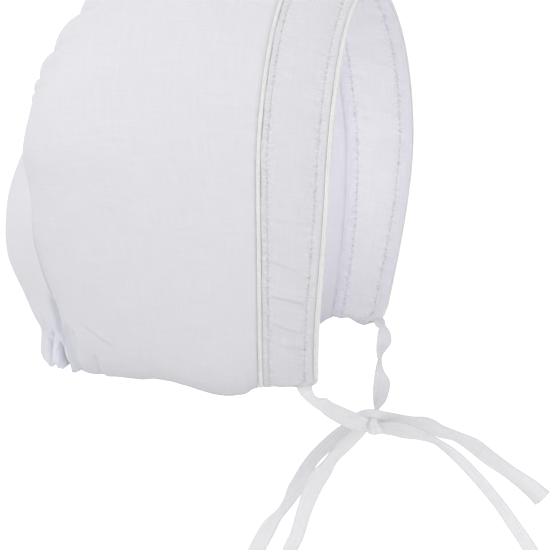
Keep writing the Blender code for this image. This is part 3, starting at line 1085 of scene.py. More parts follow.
@dataclass
class Crown(ClothPiece):
    """The main cloth over the top and sides, gathered onto the back's seam and tucked under the piping."""

    columns: int = 330
    rows: int = 145
    slack: float = 1.08
    weave_slack: float = 1.02
    pucker_slack: float = 1.05
    tuck: float = 0.5 * MM
    puff: float = 4.0 * MM
    sag: float = 3.0 * MM
    sag_reach: float = 0.42
    gather: float = 2.0 * MM
    gather_held: float = 0.75
    held_from: float = 0.75
    wander: Ripples = Ripples(11, 25 * MM, 60 * MM, spread=0.4)
    puff_wander: float = 0.7 * MM
    puff_roundness: float = 0.7
    puff_drop: float = 0.15
    drawn: float = 0.06
    drawn_to: float = 9.0 * MM
    full_to: float = 21.0 * MM
    plain_from: float = 38.0 * MM
    fine_pitch: float = 4.4 * MM
    fine_wander: float = 1.2 * MM
    fine_roundness: float = 0.8
    fine_height: float = 0.35 * MM
    gathered_to: float = 0.46
    gathered_fade: float = 0.14
    soft_waves: Ripples = Ripples(13, 22 * MM, 70 * MM, height=0.24 * MM)
    small_waves: Ripples = Ripples(15, 7 * MM, 18 * MM, height=0.07 * MM)
    puckers: Ripples = Ripples(14, 3.2 * MM, 6.0 * MM, spread=0.25, height=0.13 * MM)
    pucker_reach: float = 3.5 * MM
    ditch: float = 0.8 * MM
    band_ditch: float = 0.4 * MM
    ditch_reach: float = 0.5 * MM
    turn_under: float = 1.5 * MM
    turn_reach: float = 3.0 * MM
    nape_to: float = 17.0 * MM
    nape_fade: float = 9.0 * MM
    nape_crest: float = 0.4 * MM
    crest_at: float = 1.3 * MM
    crest_reach: float = 0.8 * MM
    nape_bend: float = 0.15
    gathers_reach: float = 4.0 * MM
    gathers_to: float = 4.0 * MM
    gathers_fade: float = 5.0 * MM
    nape_facet: Stretch = Stretch(2 * MM, 2 * MM, 10 * MM, 4 * MM)
    wrinkle_height: float = 0.22 * MM
    wrinkle_pitch: float = 1.7 * MM
    nape_gather: float = 0.16 * MM
    nape_pitch: float = 1.9 * MM
    hem_behind: Stretch = Stretch(-2.5 * MM, 6 * MM, 42 * MM, 14 * MM)
    hem_beside: Stretch = Stretch(0.0 * MM, 5 * MM, 8 * MM, 16 * MM)
    drop_behind: float = 2.1 * MM
    drop_beside: float = 2.4 * MM
    drop_reach: float = 7.0 * MM
    hem_shade: float = 0.12
    hem_shade_reach: float = 5.5 * MM
    blue_shade_reach: float = 15.0 * MM
    front: Line = field(init=False)
    rear: Line = field(init=False)

    def __post_init__(self) -> None:
        """Works out the two seams that hold the cloth."""
        self.front = self.form.seam_line()
        self.rear = self.form.back_line()

    def base(self, along: np.ndarray, back: np.ndarray) -> np.ndarray:
        """The crown's full form without gathers or folds.

        Args:
            along: Shares along the seams, from -1 to 1.
            back: Shares from the band's seam to the back's seam.

        Returns:
            Points on the outer side.
        """
        front = self.front.at(along)
        rear = self.rear.at(along)
        front[..., 1] += self.tuck
        off_top = np.abs(along)
        turn = np.radians(through(CROWN_ROWS, "turn", off_top))
        angle = back * turn
        reach = np.sin(angle) / np.sin(turn)
        fall = (1 - np.cos(angle)) / (1 - np.cos(turn))
        made = front + (rear - front) * np.stack([fall, reach, fall], axis=-1)
        held = 1.0 - self.gather_held * smooth((back - self.held_from) / (1 - self.held_from))
        swell = self.puff * through(CROWN_ROWS, "puff", off_top) * np.sin(math.pi * back)
        swell = swell + self.gather * through(CROWN_ROWS, "gather", off_top) * 0.5 * back**2 * held
        made += away_from_middle(rear) * (swell * np.cos(angle))[..., None]
        made[..., 1] += swell * np.sin(angle)
        droop = self.sag * through(CROWN_ROWS, "sag", off_top)
        made[..., 2] -= droop * np.sin(math.pi * np.minimum(1.0, back / self.sag_reach))
        return made

    def measures(self, along: np.ndarray, back: np.ndarray) -> tuple[np.ndarray, ...]:
        """Distances over the cloth: along the back seam, from it, from the band and above the lower edge.

        Args:
            along: Shares along the seams.
            back: Shares from the band's seam to the back's seam.

        Returns:
            The four distances in metres.
        """
        depth = np.linalg.norm(self.rear.at(along) - self.front.at(along), axis=-1) * self.slack
        length = (self.front.length + (self.rear.length - self.front.length) * back) / 2
        return along * self.rear.length / 2, (1 - back) * depth, back * depth, (1 - np.abs(along)) * length

    def relief(self, along: np.ndarray, back: np.ndarray) -> np.ndarray:
        """Height of the gathers, folds and soft waves over the base.

        Args:
            along: Shares along the seams.
            back: Shares from the band's seam to the back's seam.

        Returns:
            Distances outwards.
        """
        seam_way, from_back, from_band, above = self.measures(along, back)
        wander = self.wander.at(seam_way, from_back * 0.5)
        valleys = [gather.way for gather in GATHERS]
        turns = np.interp(seam_way + self.puff_wander * wander, valleys, np.arange(len(valleys)))
        stand = np.interp(seam_way, valleys, [gather.height for gather in GATHERS])
        puffs = np.abs(np.sin(math.pi * turns)) ** self.puff_roundness - self.puff_drop
        drawn = self.drawn + (1 - self.drawn) * smooth(from_back / self.drawn_to)
        height = stand * puffs * (drawn * faded(from_back, self.full_to, self.plain_from - self.full_to))
        fine = pleat((seam_way + self.fine_wander * wander) / self.fine_pitch, self.fine_roundness)
        gathered = smooth((self.gathered_to - np.abs(along)) / self.gathered_fade)
        height += gathered * self.fine_height * fine * np.exp(-from_back / self.pucker_reach)
        height += self.soft_waves.at(seam_way, from_back)
        height += self.small_waves.at(seam_way, from_back)
        puckers = self.puckers.at(seam_way * self.pucker_slack, from_band)
        height += puckers * np.exp(-from_band / self.pucker_reach)
        height -= self.ditch * hill(from_back, self.ditch_reach)
        height -= self.band_ditch * hill(from_band, self.ditch_reach)
        free = smooth((from_back - 2 * MM) / (4 * MM)) * smooth(from_band / (3 * MM))
        height -= self.turn_under * np.exp(-above / self.turn_reach) * free
        return height + self.nape(from_back, above)

    def nape(self, from_back: np.ndarray, above: np.ndarray) -> np.ndarray:
        """The soft creases and small gathers at the crown's lower back corners.

        Args:
            from_back: Distances from the back's seam.
            above: Heights above the lower edge.

        Returns:
            Distances outwards.
        """
        present = faded(above, self.nape_to, self.nape_fade)
        crest = self.nape_crest * present * hill(from_back - self.crest_at, self.crest_reach)
        wrinkles = self.wrinkle_height * small_folds(from_back, above, self.wrinkle_pitch, 0.8)
        bend = self.nape_bend * np.sin(above / FOLD_BEND)
        gathers = pleat(from_back / self.nape_pitch + bend, 0.9)
        drawn = np.exp(-above / self.gathers_reach) * faded(from_back, self.gathers_to, self.gathers_fade)
        folds = crest + wrinkles * self.nape_facet.at(from_back) * present
        folds = folds + self.nape_gather * gathers * drawn
        return folds + creased(CROWN_CREASES, from_back, above)

    def hem_drop(self, from_back: np.ndarray, from_band: np.ndarray, above: np.ndarray) -> np.ndarray:
        """How far the lower hem hangs below its base: behind the ear, and again beside the band."""
        behind = self.drop_behind * self.hem_behind.at(from_back)
        return (behind + self.drop_beside * self.hem_beside.at(from_band)) * np.exp(-above / self.drop_reach)

    def at(self, along: np.ndarray, back: np.ndarray) -> np.ndarray:
        """The crown's outer side with its gathers, folds and seams.

        Args:
            along: Shares along the seams.
            back: Shares from the band's seam to the back's seam.

        Returns:
            Points on the outer side.
        """
        normals = surface_normals(self.base, along, np.clip(back, INSIDE_EDGE, 1 - INSIDE_EDGE))
        _, from_back, from_band, above = self.measures(along, back)
        tuck = seam_tuck(self.form, along) * faded(from_back, 0.0, 1.5 * MM)[..., None]
        made = self.base(along, back) + normals * self.relief(along, back)[..., None] + tuck
        made[..., 2] -= self.hem_drop(from_back, from_band, above)
        return made

    def build(self) -> None:
        """Makes the crown."""
        back = shares_from(0.0, self.rows, 0.25, smooth)[:, None]
        along = shares_from(-1.0, self.columns, 0.72, quarter_wave)[None, :]
        back, along = np.broadcast_arrays(back, along)
        seam_way, from_back, from_band, above = self.measures(along, back)
        piece = grid_piece(self.at(along, back), np.stack([seam_way * self.weave_slack, from_band], axis=-1))
        # painted shade on the hem, which turns under and faces down, in the creases and by the seam
        hem = 1 - self.hem_shade * np.exp(-above / self.hem_shade_reach)[..., None]
        hem = hem * crease_shade(CROWN_CREASES, from_back, above)
        store(piece, PAINTED_SHADE, nape_shade(from_back, above, self.blue_shade_reach) * hem)
        wall_of(piece, self.wall)
        shade_inside(piece, INNER_SHADE)
        finish_piece(piece, "crown_cloth", self.finish)
        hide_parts("crown")


@dataclass
class BackPanel(ClothPiece):
    """The cloth at the back of the head: smooth above, gathered into a small ruffle at the nape."""

    columns: int = 190
    rows: int = 150
    merge: float = 0.02 * MM
    rim_gap: float = 0.1 * MM
    allowance: float = 0.07
    half_girth: float = 29.0 * MM
    slack: float = 1.2
    weave_slack: float = 1.15
    top_edge: float = 0.03
    puffs_to: float = 6.0 * MM
    puffs_fade: float = 38.0 * MM
    wander: Ripples = Ripples(21, 20 * MM, 50 * MM, lean=math.pi / 2, spread=0.5)
    pleat_wander: float = 1.3 * MM
    pleat_pitch: float = 5.2 * MM
    pleat_roundness: float = 0.85
    gather: float = 1.0 * MM
    gather_power: int = 9
    gathers_from: float = 4.0 * MM
    gathers_ease: float = 5.0 * MM
    least_gather: float = 0.35
    fullest_below: float = 3.0 * MM
    fullest_reach: float = 9.0 * MM
    drawn_line: float = 11.0 * MM
    drawn_depth: float = 1.1 * MM
    drawn_reach: float = 4.5 * MM
    flare: float = 2.4 * MM
    flare_reach: float = 9.0 * MM
    turn_under: float = 0.6 * MM
    turn_reach: float = 1.2 * MM
    soft_waves: Ripples = Ripples(22, 20 * MM, 60 * MM, height=0.3 * MM)
    facet: Stretch = Stretch(3 * MM, 2 * MM, 10 * MM, 4 * MM)
    facet_to: float = 16.0 * MM
    facet_fade: float = 9.0 * MM
    wrinkle_height: float = 0.18 * MM
    wrinkle_pitch: float = 1.5 * MM
    ditch: float = 0.8 * MM
    ditch_reach: float = 0.5 * MM
    tuck_fade: float = 6.5 * MM
    hem_drop: float = 0.9 * MM
    hem_power: int = 6
    hem_fade: float = 8.0 * MM
    scallop: float = 0.6 * MM
    scallop_phase: float = 0.3
    notch: float = 0.9 * MM
    notches: tuple[tuple[float, float], ...] = ((6.7 * MM, 1.0), (1.3 * MM, 0.1))
    notch_width: float = 0.8 * MM
    notch_reach: float = 1.5 * MM
    blue_shade_reach: float = 12.0 * MM
    rear: Line = field(init=False)

    def __post_init__(self) -> None:
        """Works out the seam that holds the cloth."""
        self.rear = self.form.back_line()

    def base(self, across: np.ndarray, level: np.ndarray) -> np.ndarray:
        """The bulging form without gathers.

        Args:
            across: Shares from the -X seam to the +X seam, from -1 to 1.
            level: Shares along the seam from the top to the nape.

        Returns:
            Points on the outer side.
        """
        near = self.rear.at(-level)
        far = self.rear.at(level)
        near -= away_from_middle(near) * self.rim_gap
        far -= away_from_middle(far) * self.rim_gap
        arch = self.form.back_seam
        down = (arch.top - near[..., 2]) / (arch.top - arch.low)
        half = (far[..., 0] - near[..., 0]) / 2
        bulge = self.form.back_bulge * through(BACK_ROWS, "bulge", down)
        bulge = bulge * np.minimum(1.0, half / arch.corner_half)
        made = near + (far - near) * ((across + 1) / 2)[..., None]
        made[..., 1] += bulge * (1 - across**2)
        return made

    def relief(self, across: np.ndarray, level: np.ndarray) -> np.ndarray:
        """Height of the nape's gathers, its drawn-in line and its ruffle.

        Args:
            across: Shares across the back.
            level: Shares from the top to the nape.

        Returns:
            Distances outwards.
        """
        above = self.above(level)
        from_seam = self.from_seam(across, level)
        arc = across * self.half_girth
        drawn = faded(above, self.puffs_to, self.puffs_fade)
        inside = 1 - np.minimum(np.abs(across), 1.0) ** self.gather_power
        wander = self.pleat_wander * self.wander.at(arc, above)
        pleats = pleat((arc + wander) / self.pleat_pitch, self.pleat_roundness)
        fullest = hill(above - self.drawn_line + self.fullest_below, self.fullest_reach)
        fullest = self.least_gather + (1 - self.least_gather) * fullest
        height = self.gather * pleats * drawn * inside * fullest
        height *= smooth((from_seam - self.gathers_from) / self.gathers_ease)
        height -= self.drawn_depth * hill(above - self.drawn_line, self.drawn_reach) * inside
        height += self.flare * faded(above, 0.0, self.flare_reach) * inside
        height -= self.turn_under * hill(above, self.turn_reach) * inside
        height += self.soft_waves.at(arc, above) * inside
        facet = self.facet.at(from_seam) * faded(above, self.facet_to, self.facet_fade)
        height += self.wrinkle_height * facet * small_folds(from_seam, above, self.wrinkle_pitch, 0.9)
        height -= self.ditch * hill(from_seam, self.ditch_reach)
        return height + creased(BACK_CREASES, from_seam, above)

    def above(self, level: np.ndarray) -> np.ndarray:
        """Heights above the lower edge, along the seam."""
        return (1 - level) * self.rear.length / 2

    def from_seam(self, across: np.ndarray, level: np.ndarray) -> np.ndarray:
        """Distances from the nearer seam, over the back's surface."""
        half = (self.rear.at(level)[..., 0] - self.rear.at(-level)[..., 0]) / 2
        return (1 - np.abs(across)) * half * self.slack

    def at(self, across: np.ndarray, level: np.ndarray) -> np.ndarray:
        """The back's outer side with its gathers, ruffle and seams.

        Args:
            across: Shares across the back.
            level: Shares from the top to the nape.

        Returns:
            Points on the outer side.
        """
        above = self.above(level)
        from_seam = self.from_seam(across, level)
        normals = surface_normals(self.base, across, np.clip(level, self.top_edge, 1 - INSIDE_EDGE))
        tuck = seam_tuck(self.form, np.where(across < 0, -level, level))
        tuck *= faded(from_seam, 0.0, self.tuck_fade)[..., None]
        made = self.base(across, level) + normals * self.relief(across, level)[..., None] + tuck
        ends = 1 - np.minimum(np.abs(across), 1.0) ** self.hem_power
        scallops = self.scallop * pleat(across * self.half_girth / self.pleat_pitch + self.scallop_phase)
        made[..., 2] -= (self.hem_drop + scallops) * ends * faded(above, 0.0, self.hem_fade)
        notches = sum(share * hill(from_seam - place, self.notch_width) for place, share in self.notches)
        made[..., 2] += self.notch * notches * np.exp(-above / self.notch_reach)
        return made

    def build(self) -> None:
        """Makes the back."""
        level = shares_from(0.0, self.rows, 0.6, quarter_wave)[:, None]
        across = (1 + self.allowance) * shares_from(-1.0, self.columns, 0.3, quarter_wave)[None, :]
        level, across = np.broadcast_arrays(level, across)
        above = self.above(level)
        from_seam = self.from_seam(across, level)
        points = self.at(across, level)
        ways = np.stack([points[..., 0] * self.weave_slack, level * self.rear.length / 2], axis=-1)
        piece = grid_piece(points, ways)
        shade = crease_shade(BACK_CREASES, from_seam, above)
        # painted shade by the seam and in the creases
        store(piece, PAINTED_SHADE, nape_shade(from_seam, above, self.blue_shade_reach) * shade)
        edit_whole(piece, bpy.ops.mesh.remove_doubles, threshold=self.merge)
        wall_of(piece, self.wall)
        finish_piece(piece, "back_cloth", self.finish)
        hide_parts("back_panel")


class StitchRow(NamedTuple):
    """A row of topstitches: the surface, its two shares along the row, and distances for the stitches."""

    surface: Callable
    along: np.ndarray
    across: np.ndarray
    way: np.ndarray


class LongPucker(NamedTuple):
    """A faint crease across the band: height above its lower edge, slant, depth, and where it lies across."""

    height: float
    slant: float
    depth: float
    start: float
    end: float


PUCKER_EASE = 0.15
PUCKER_CREST = 1.0 * MM
PUCKER_DIP = 0.6 * MM
PUCKER_DIP_BELOW = 1.2 * MM

LONG_PUCKERS = (
    LongPucker(height=19.0 * MM, slant=-0.8 * MM, depth=0.34 * MM, start=0.10, end=0.72),
    LongPucker(height=25.5 * MM, slant=0.6 * MM, depth=0.36 * MM, start=0.22, end=0.90),
    LongPucker(height=35.5 * MM, slant=-0.5 * MM, depth=0.44 * MM, start=0.12, end=0.88),
    LongPucker(height=46.0 * MM, slant=0.9 * MM, depth=0.30 * MM, start=0.30, end=0.95),
    LongPucker(height=60.0 * MM, slant=-1.2 * MM, depth=0.18 * MM, start=0.20, end=0.80),
)


@dataclass
class Band(ClothPiece):
    """The doubled brim band: an outer cloth and a lining, sewn together near both edges and along the hem."""

    columns: int = 560
    rows: int = 52
    tuck: float = 0.55 * MM
    edge_tuck: float = 0.85 * MM
    thickness: float = 1.3 * MM
    wall: float = 0.4 * MM
    seams: Seams = Seams()
    groove: float = 0.14 * MM
    groove_reach: float = 0.4 * MM
    padding: float = 0.35 * MM
    padding_reach: float = 6.0 * MM
    short_puckers: Ripples = Ripples(31, 2.0 * MM, 4.6 * MM, spread=0.35, count=12)
    pucker_height: float = 0.19 * MM
    pucker_reach: float = 2.4 * MM
    pucker_rest: float = 0.025 * MM
    long_waves: Ripples = Ripples(32, 7 * MM, 22 * MM, spread=0.5, height=0.18 * MM)
    ditch: float = 0.3 * MM
    ditch_reach: float = 0.5 * MM
    hem_ditch: float = 0.4 * MM
    lining_groove: float = 0.2 * MM
    lining_puckers: Ripples = Ripples(41, 3.0 * MM, 7.0 * MM, spread=0.5)
    lining_pucker_height: float = 0.24 * MM
    lining_pucker_reach: float = 3.2 * MM
    lining_pucker_rest: float = 0.06 * MM
    lining_waves: Ripples = Ripples(42, 8 * MM, 26 * MM, spread=0.8, height=0.4 * MM)
    hem_ripples: Ripples = Ripples(51, 5 * MM, 9 * MM, lean=math.pi / 2, spread=0.2)
    near_hem_wave: float = 0.14 * MM
    far_hem_wave: float = 0.42 * MM
    hem_wave_reach: float = 2.5 * MM
    far_hem_pull: float = 1.6 * MM
    hem_pull_at: float = 1.0 * MM
    hem_pull_width: float = 3.5 * MM
    hem_pull_reach: float = 3.0 * MM
    sewn_to: float = 0.992
    sewn_samples: int = 900
    hem_sewn: tuple[float, float] = (0.16, 0.97)
    hem_samples: int = 120
    lining_front: float = 1.5 * MM
    lining_rear: float = 2.05 * MM
    lining_edge: float = 0.95 * MM
    bed_reach: float = 2.5 * MM
    closing_reach: float = 1.2 * MM
    sewn_reach: float = 1.5 * MM
    rear_allowance: float = 2.4 * MM
    front_allowance: float = 3.2 * MM
    allowance_fade: float = 1.2 * MM
    front_shade: float = 0.7
    front: Line = field(init=False)
    rear: Line = field(init=False)

    def __post_init__(self) -> None:
        """Works out the band's two edges."""
        self.front = self.form.opening_line()
        self.rear = self.form.seam_line()

    def base(self, along: np.ndarray, across: np.ndarray) -> np.ndarray:
        """The band's plain outer face.

        Args:
            along: Shares along the band, from -1 to 1.
            across: Shares from the front edge to the seam.

        Returns:
            Points on the outer face.
        """
        front = self.front.at(along)
        rear = self.rear.at(along)
        front[..., 1] += self.edge_tuck
        rear[..., 1] -= self.tuck
        return front + (rear - front) * across[..., None]

    def measures(self, along: np.ndarray, across: np.ndarray) -> tuple[np.ndarray, ...]:
        """Distances over the band: along it, from its front edge, from its seam and above its lower edge.

        Args:
            along: Shares along the band.
            across: Shares from the front edge to the seam.

        Returns:
            The four distances in metres.
        """
        width = np.linalg.norm(self.rear.at(along) - self.front.at(along), axis=-1)
        half = self.rear.length / 2
        return along * half, across * width, (1 - across) * width, (1 - np.abs(along)) * half

    def relief(self, along: np.ndarray, across: np.ndarray) -> np.ndarray:
        """Height of the outer face's stitched grooves and puckers.

        Args:
            along: Shares along the band.
            across: Shares from the front edge to the seam.

        Returns:
            Distances outwards.
        """
        way, from_edge, from_seam, above = self.measures(along, across)
        to_rows = self.to_rows(from_edge, from_seam, above)
        inner = np.minimum(*to_rows[:2])
        sewn = sum(hill(to_row, self.groove_reach) for to_row in to_rows)
        height = self.padding * smooth(inner / self.padding_reach) - self.groove * np.minimum(sewn, 1.0)
        pucker = self.pucker_height * np.exp(-inner / self.pucker_reach) + self.pucker_rest
        height += self.short_puckers.at(way, from_edge) * pucker
        height += self.long_waves.at(way, from_edge)
        height -= self.ditch * (hill(from_seam, self.ditch_reach) + hill(from_edge, self.ditch_reach))
        for fold in LONG_PUCKERS:
            level = above - fold.height - fold.slant * (across - 0.5) * 2
            reach = smooth((across - fold.start) / PUCKER_EASE) * smooth((fold.end - across) / PUCKER_EASE)
            rise = hill(level, PUCKER_CREST) - hill(level + PUCKER_DIP_BELOW, PUCKER_DIP)
            height += fold.depth * (along < 0) * reach * rise
        return height - self.hem_ditch * hill(above, self.ditch_reach)

    def to_rows(self, from_edge: np.ndarray, from_seam: np.ndarray, above: np.ndarray) -> list[np.ndarray]:
        """Distances from the stitch rows.

        Args:
            from_edge: Distances from the front edge.
            from_seam: Distances from the seam.
            above: Heights above the lower edge.

        Returns:
            The distances from the rows by the front edge, by the seam and by the hem.
        """
        seams = self.seams
        sides = ((from_edge, seams.edge_row), (from_seam, seams.seam_row), (above, seams.hem_row))
        return [np.abs(away - row) for away, row in sides]

    def lining_relief(self, along: np.ndarray, across: np.ndarray) -> np.ndarray:
        """Height of the lining's puckers, towards the inside.

        Args:
            along: Shares along the band.
            across: Shares from the front edge to the seam.

        Returns:
            Distances inwards.
        """
        way, from_edge, from_seam, above = self.measures(along, across)
        to_row = np.minimum.reduce(self.to_rows(from_edge, from_seam, above))
        pucker = self.lining_pucker_height * np.exp(-to_row / self.lining_pucker_reach)
        height = self.lining_puckers.at(way, from_edge) * (pucker + self.lining_pucker_rest)
        height -= self.lining_groove * hill(to_row, self.groove_reach)
        return height + self.lining_waves.at(way, from_edge)

    def hem_wave(self, along: np.ndarray, across: np.ndarray) -> np.ndarray:
        """How far the lower hem waves up and down, more on the far side.

        Args:
            along: Shares along the band.
            across: Shares from the front edge to the seam.

        Returns:
            Distances upwards.
        """
        way, from_edge, _, above = self.measures(along, across)
        side = np.where(along > 0, self.far_hem_wave, self.near_hem_wave)
        wave = side * self.hem_ripples.at(way, from_edge) * np.exp(-above / self.hem_wave_reach)
        pulled = self.far_hem_pull * (along > 0) * hill(from_edge - self.hem_pull_at, self.hem_pull_width)
        return wave - pulled * np.exp(-above / self.hem_pull_reach)

    def at(self, along: np.ndarray, across: np.ndarray) -> np.ndarray:
        """The outer face with its grooves and puckers.

        Args:
            along: Shares along the band.
            across: Shares from the front edge to the seam.

        Returns:
            Points on the outer face.
        """
        normals = surface_normals(self.base, along, across)
        made = self.base(along, across) + normals * self.relief(along, across)[..., None]
        made[..., 2] += self.hem_wave(along, across)
        return made

    def lining_at(self, along: np.ndarray, across: np.ndarray) -> np.ndarray:
        """The lining's inner face, which lies on the outer cloth at the hem.

        Args:
            along: Shares along the band.
            across: Shares across the lining.

        Returns:
            Points on the inner face.
        """
        normals = surface_normals(self.base, along, across)
        _, from_edge, from_seam, above = self.measures(along, across)
        to_side = np.minimum(from_edge + self.lining_front, from_seam + self.lining_rear)
        bed = self.lining_edge + (self.thickness - self.lining_edge) * smooth(to_side / self.bed_reach)
        closing = smooth(above / self.closing_reach)
        free = smooth(to_side / self.sewn_reach) * closing
        inwards = self.wall + (bed - self.wall) * closing + self.lining_relief(along, across) * free
        made = self.base(along, across) - normals * inwards[..., None]
        made[..., 2] += self.hem_wave(along, across)
        return made

    def lining_shares(self, along: np.ndarray, across: np.ndarray) -> np.ndarray:
        """Shares across the lining, which reaches past the seam and a little past the front edge."""
        width = np.linalg.norm(self.rear.at(along) - self.front.at(along), axis=-1)
        return (across * (width + self.lining_front + self.lining_rear) - self.lining_front) / width

    def lining_painted_shade(self, along: np.ndarray, across: np.ndarray) -> np.ndarray:
        """Colours to multiply the lining by: a little purple painted shade where the seam allowances lie
        under it.

        Args:
            along: Shares along the band.
            across: Shares across the lining.

        Returns:
            The colours, with one more axis.
        """
        _, from_edge, from_seam, _ = self.measures(along, across)
        rear = faded(from_seam, self.rear_allowance, self.allowance_fade)
        front = faded(from_edge, self.front_allowance, self.allowance_fade)
        return 1.0 - LINING_SHADE * np.maximum(rear, self.front_shade * front)[..., None]

    def shares(self) -> tuple[np.ndarray, np.ndarray]:
        """Shares for the band's grids, closer together near the edges.

        Returns:
            Shares along and shares across.
        """
        across = shares_from(0.0, self.rows, 0.6, smooth)[:, None]
        along = shares_from(-1.0, self.columns, 0.9, quarter_wave)[None, :]
        return tuple(np.broadcast_arrays(along, across))

    def dress(self, name: str, surface: Callable, across: np.ndarray, wall: float, tints: np.ndarray) -> None:
        """Makes one of the band's two cloths.

        Args:
            name: The cloth's name.
            surface: Its visible face.
            across: Shares across it.
            wall: Its thickness, inwards.
            tints: Colours to multiply it by.
        """
        along = self.shares()[0]
        ways = np.stack(self.measures(along, across)[:3], axis=-1)
        piece = grid_piece(surface(along, across), ways)
        store(piece, PAINTED_SHADE, tints)
        wall_of(piece, wall)
        finish_piece(piece, name, self.finish)
        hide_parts("band")

    def build(self) -> None:
        """Makes the band's outer cloth and its lining."""
        along, outer = self.shares()
        lining = self.lining_shares(along, outer)
        self.dress("band_outer", self.at, outer, self.wall, np.ones((*outer.shape, 3)))
        self.dress("band_lining", self.lining_at, lining, -self.wall, self.lining_painted_shade(along, lining))

    def stitch_rows(self, surface: Callable) -> list[StitchRow]:
        """The topstitch rows on a face of the band.

        Args:
            surface: Its outer face or its lining's face.

        Returns:
            Rows along the front edge, the seam and the two hems.
        """
        along = np.linspace(-self.sewn_to, self.sewn_to, self.sewn_samples)
        width = np.linalg.norm(self.rear.at(along) - self.front.at(along), axis=-1)
        way = along * self.rear.length / 2
        rows = [
            StitchRow(surface, along, self.seams.edge_row / width, way),
            StitchRow(surface, along, 1 - self.seams.seam_row / width, way),
        ]
        across = np.linspace(*self.hem_sewn, self.hem_samples)
        level = 1 - self.seams.hem_row / (self.rear.length / 2)
        for side in (-1.0, 1.0):
            along = np.full_like(across, side * level)
            rows.append(StitchRow(surface, along, across, self.measures(along, across)[1]))
        return rows


@dataclass
class Piping:
    """A cord in bias-cut satin, sewn along an edge."""

    name: str
    node: str
    line: Line
    finish: bpy.types.Material
    radius: float
    end_length: float = 0.8 * MM
    sides: int = 16
    rings: int = 1000
    wrap_pitch: float = 1.1 * MM
    wrap_depth: float = 0.06
    least_end: float = 0.02
    lumps: Ripples = Ripples(61, 4 * MM, 14 * MM, spread=0.1, height=0.03)

    def build(self) -> None:
        """Makes the piping."""
        share = np.linspace(-1.0, 1.0, self.rings)
        centre = self.line.at(share)
        tangent = unit(np.gradient(centre, axis=0))
        outward = away_from_middle(centre)
        outward = unit(outward - (outward * tangent).sum(axis=1, keepdims=True) * tangent)
        beside = np.cross(tangent, outward)
        run = (share + 1) / 2 * self.line.length
        end = np.minimum(run, self.line.length - run)
        rounding = 1 - (1 - np.minimum(end / self.end_length, 1.0)) ** 2
        closing = np.sqrt(np.clip(rounding, self.least_end, 1.0))
        around = np.linspace(0.0, 2 * math.pi, self.sides, endpoint=False)
        wrap = np.cos(2 * math.pi * run[:, None] / self.wrap_pitch + around[None, :])
        uneven = self.lumps.at(run, np.zeros_like(run))[:, None]
        radius = (self.radius * closing[:, None] * (1 + self.wrap_depth * wrap + uneven))[..., None]
        turned = np.cos(around)[None, :, None] * outward[:, None, :]
        turned = turned + np.sin(around)[None, :, None] * beside[:, None, :]
        rings = centre[:, None, :] + radius * turned
        ways = np.stack(np.broadcast_arrays(run[:, None], around * self.radius), axis=-1)
        piece = tube_of(rings, ways)
        finish_piece(piece, self.name, self.finish)
        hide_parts(self.node)


STITCH_SEED = 71


@dataclass
class Stitches:
    """Rows of sewing stitches as one piece."""

    name: str
    finish: bpy.types.Material
    slot: str
    pitch: float = 2.3 * MM
    stitch: float = 1.75 * MM
    thread: float = 0.26 * MM
    sink: float = 0.05 * MM
    uneven: float = 0.08
    bead_rings: int = 7
    bead_sides: int = 8
    bead_end: float = 0.06
    bead_fullness: float = 0.55
    points: list[np.ndarray] = field(default_factory=list)
    faces: list[np.ndarray] = field(default_factory=list)

    def bead(self) -> tuple[np.ndarray, np.ndarray]:
        """One stitch of length and thickness 1: a drawn-out ball whose ends dip into the cloth.

        Returns:
            Its points and its faces, as four indices each.
        """
        bow = np.linspace(self.bead_end, math.pi - self.bead_end, self.bead_rings)[:, None]
        turn = np.linspace(0.0, 2 * math.pi, self.bead_sides, endpoint=False)
        girth = np.sin(bow) ** self.bead_fullness / 2
        rings = np.broadcast_arrays(-np.cos(bow) / 2, girth * np.cos(turn), girth * np.sin(turn))
        return np.stack(rings, axis=-1).reshape(-1, 3), tube_faces(self.bead_rings, self.bead_sides)

    def sew(self, row: StitchRow, inwards: bool = False) -> None:
        """Adds a row of stitches.

        Args:
            row: The surface and the shares that the row follows.
            inwards: True on a lining, whose stitches lie on its inner side.
        """
        line = row.surface(row.along, row.across)
        normals = surface_normals(row.surface, row.along, row.across)
        run = distances(line)
        first = math.ceil(row.way[0] / self.pitch)
        last = math.floor(row.way[-1] / self.pitch)
        draw = np.random.default_rng(STITCH_SEED + last)
        middles = np.interp((np.arange(first, last) + 0.5) * self.pitch, row.way, run)
        bead_points, bead_faces = self.bead()
        side = -1.0 if inwards else 1.0
        for place in middles:
            half = self.stitch / 2 * (1 + self.uneven * draw.standard_normal())
            ends = [between(place + far, run, line) for far in (-half, half)]
            up = side * between(place, run, normals)
            forward = ends[1] - ends[0]
            length = np.linalg.norm(forward)
            forward = forward / length
            up = unit(up - up @ forward * forward)
            over = np.cross(forward, up)
            centre = (ends[0] + ends[1]) / 2 + up * (self.thread / 2 - self.sink)
            drawn = centre + bead_points @ np.array([forward * length, over * self.thread, up * self.thread])
            self.faces.append(bead_faces + len(self.points) * len(bead_points))
            self.points.append(drawn)

    def build(self) -> None:
        """Joins the stitches into one piece."""
        points = np.concatenate(self.points)
        piece = mesh_piece(points, np.concatenate(self.faces), points[:, 1:])
        finish_piece(piece, self.name, self.finish)


# Tape ties


class TiePoint(NamedTuple):
    """A point on a tape's middle line and the tape's roll there in degrees, its width and its cupping.

    Places and widths are in millimetres. Cupping is the edges' rise as a share of the width.
    """

    x: float
    y: float
    z: float
    roll: float = 0.0
    width: float = 5.5
    cup: float = 0.0


def route(*rows: tuple[float, ...]) -> tuple[TiePoint, ...]:
    """A tape's route.

    Args:
        rows: Each tie point's numbers, in the order of its fields.

    Returns:
        The tie points.
    """
    return tuple(TiePoint(*row) for row in rows)


class Facing(Enum):
    """Which way a tape's flat side looks where its roll is 0."""

    SIDE = (1.0, 0.0, 0.0)
    FRONT = (0.0, -1.0, 0.0)


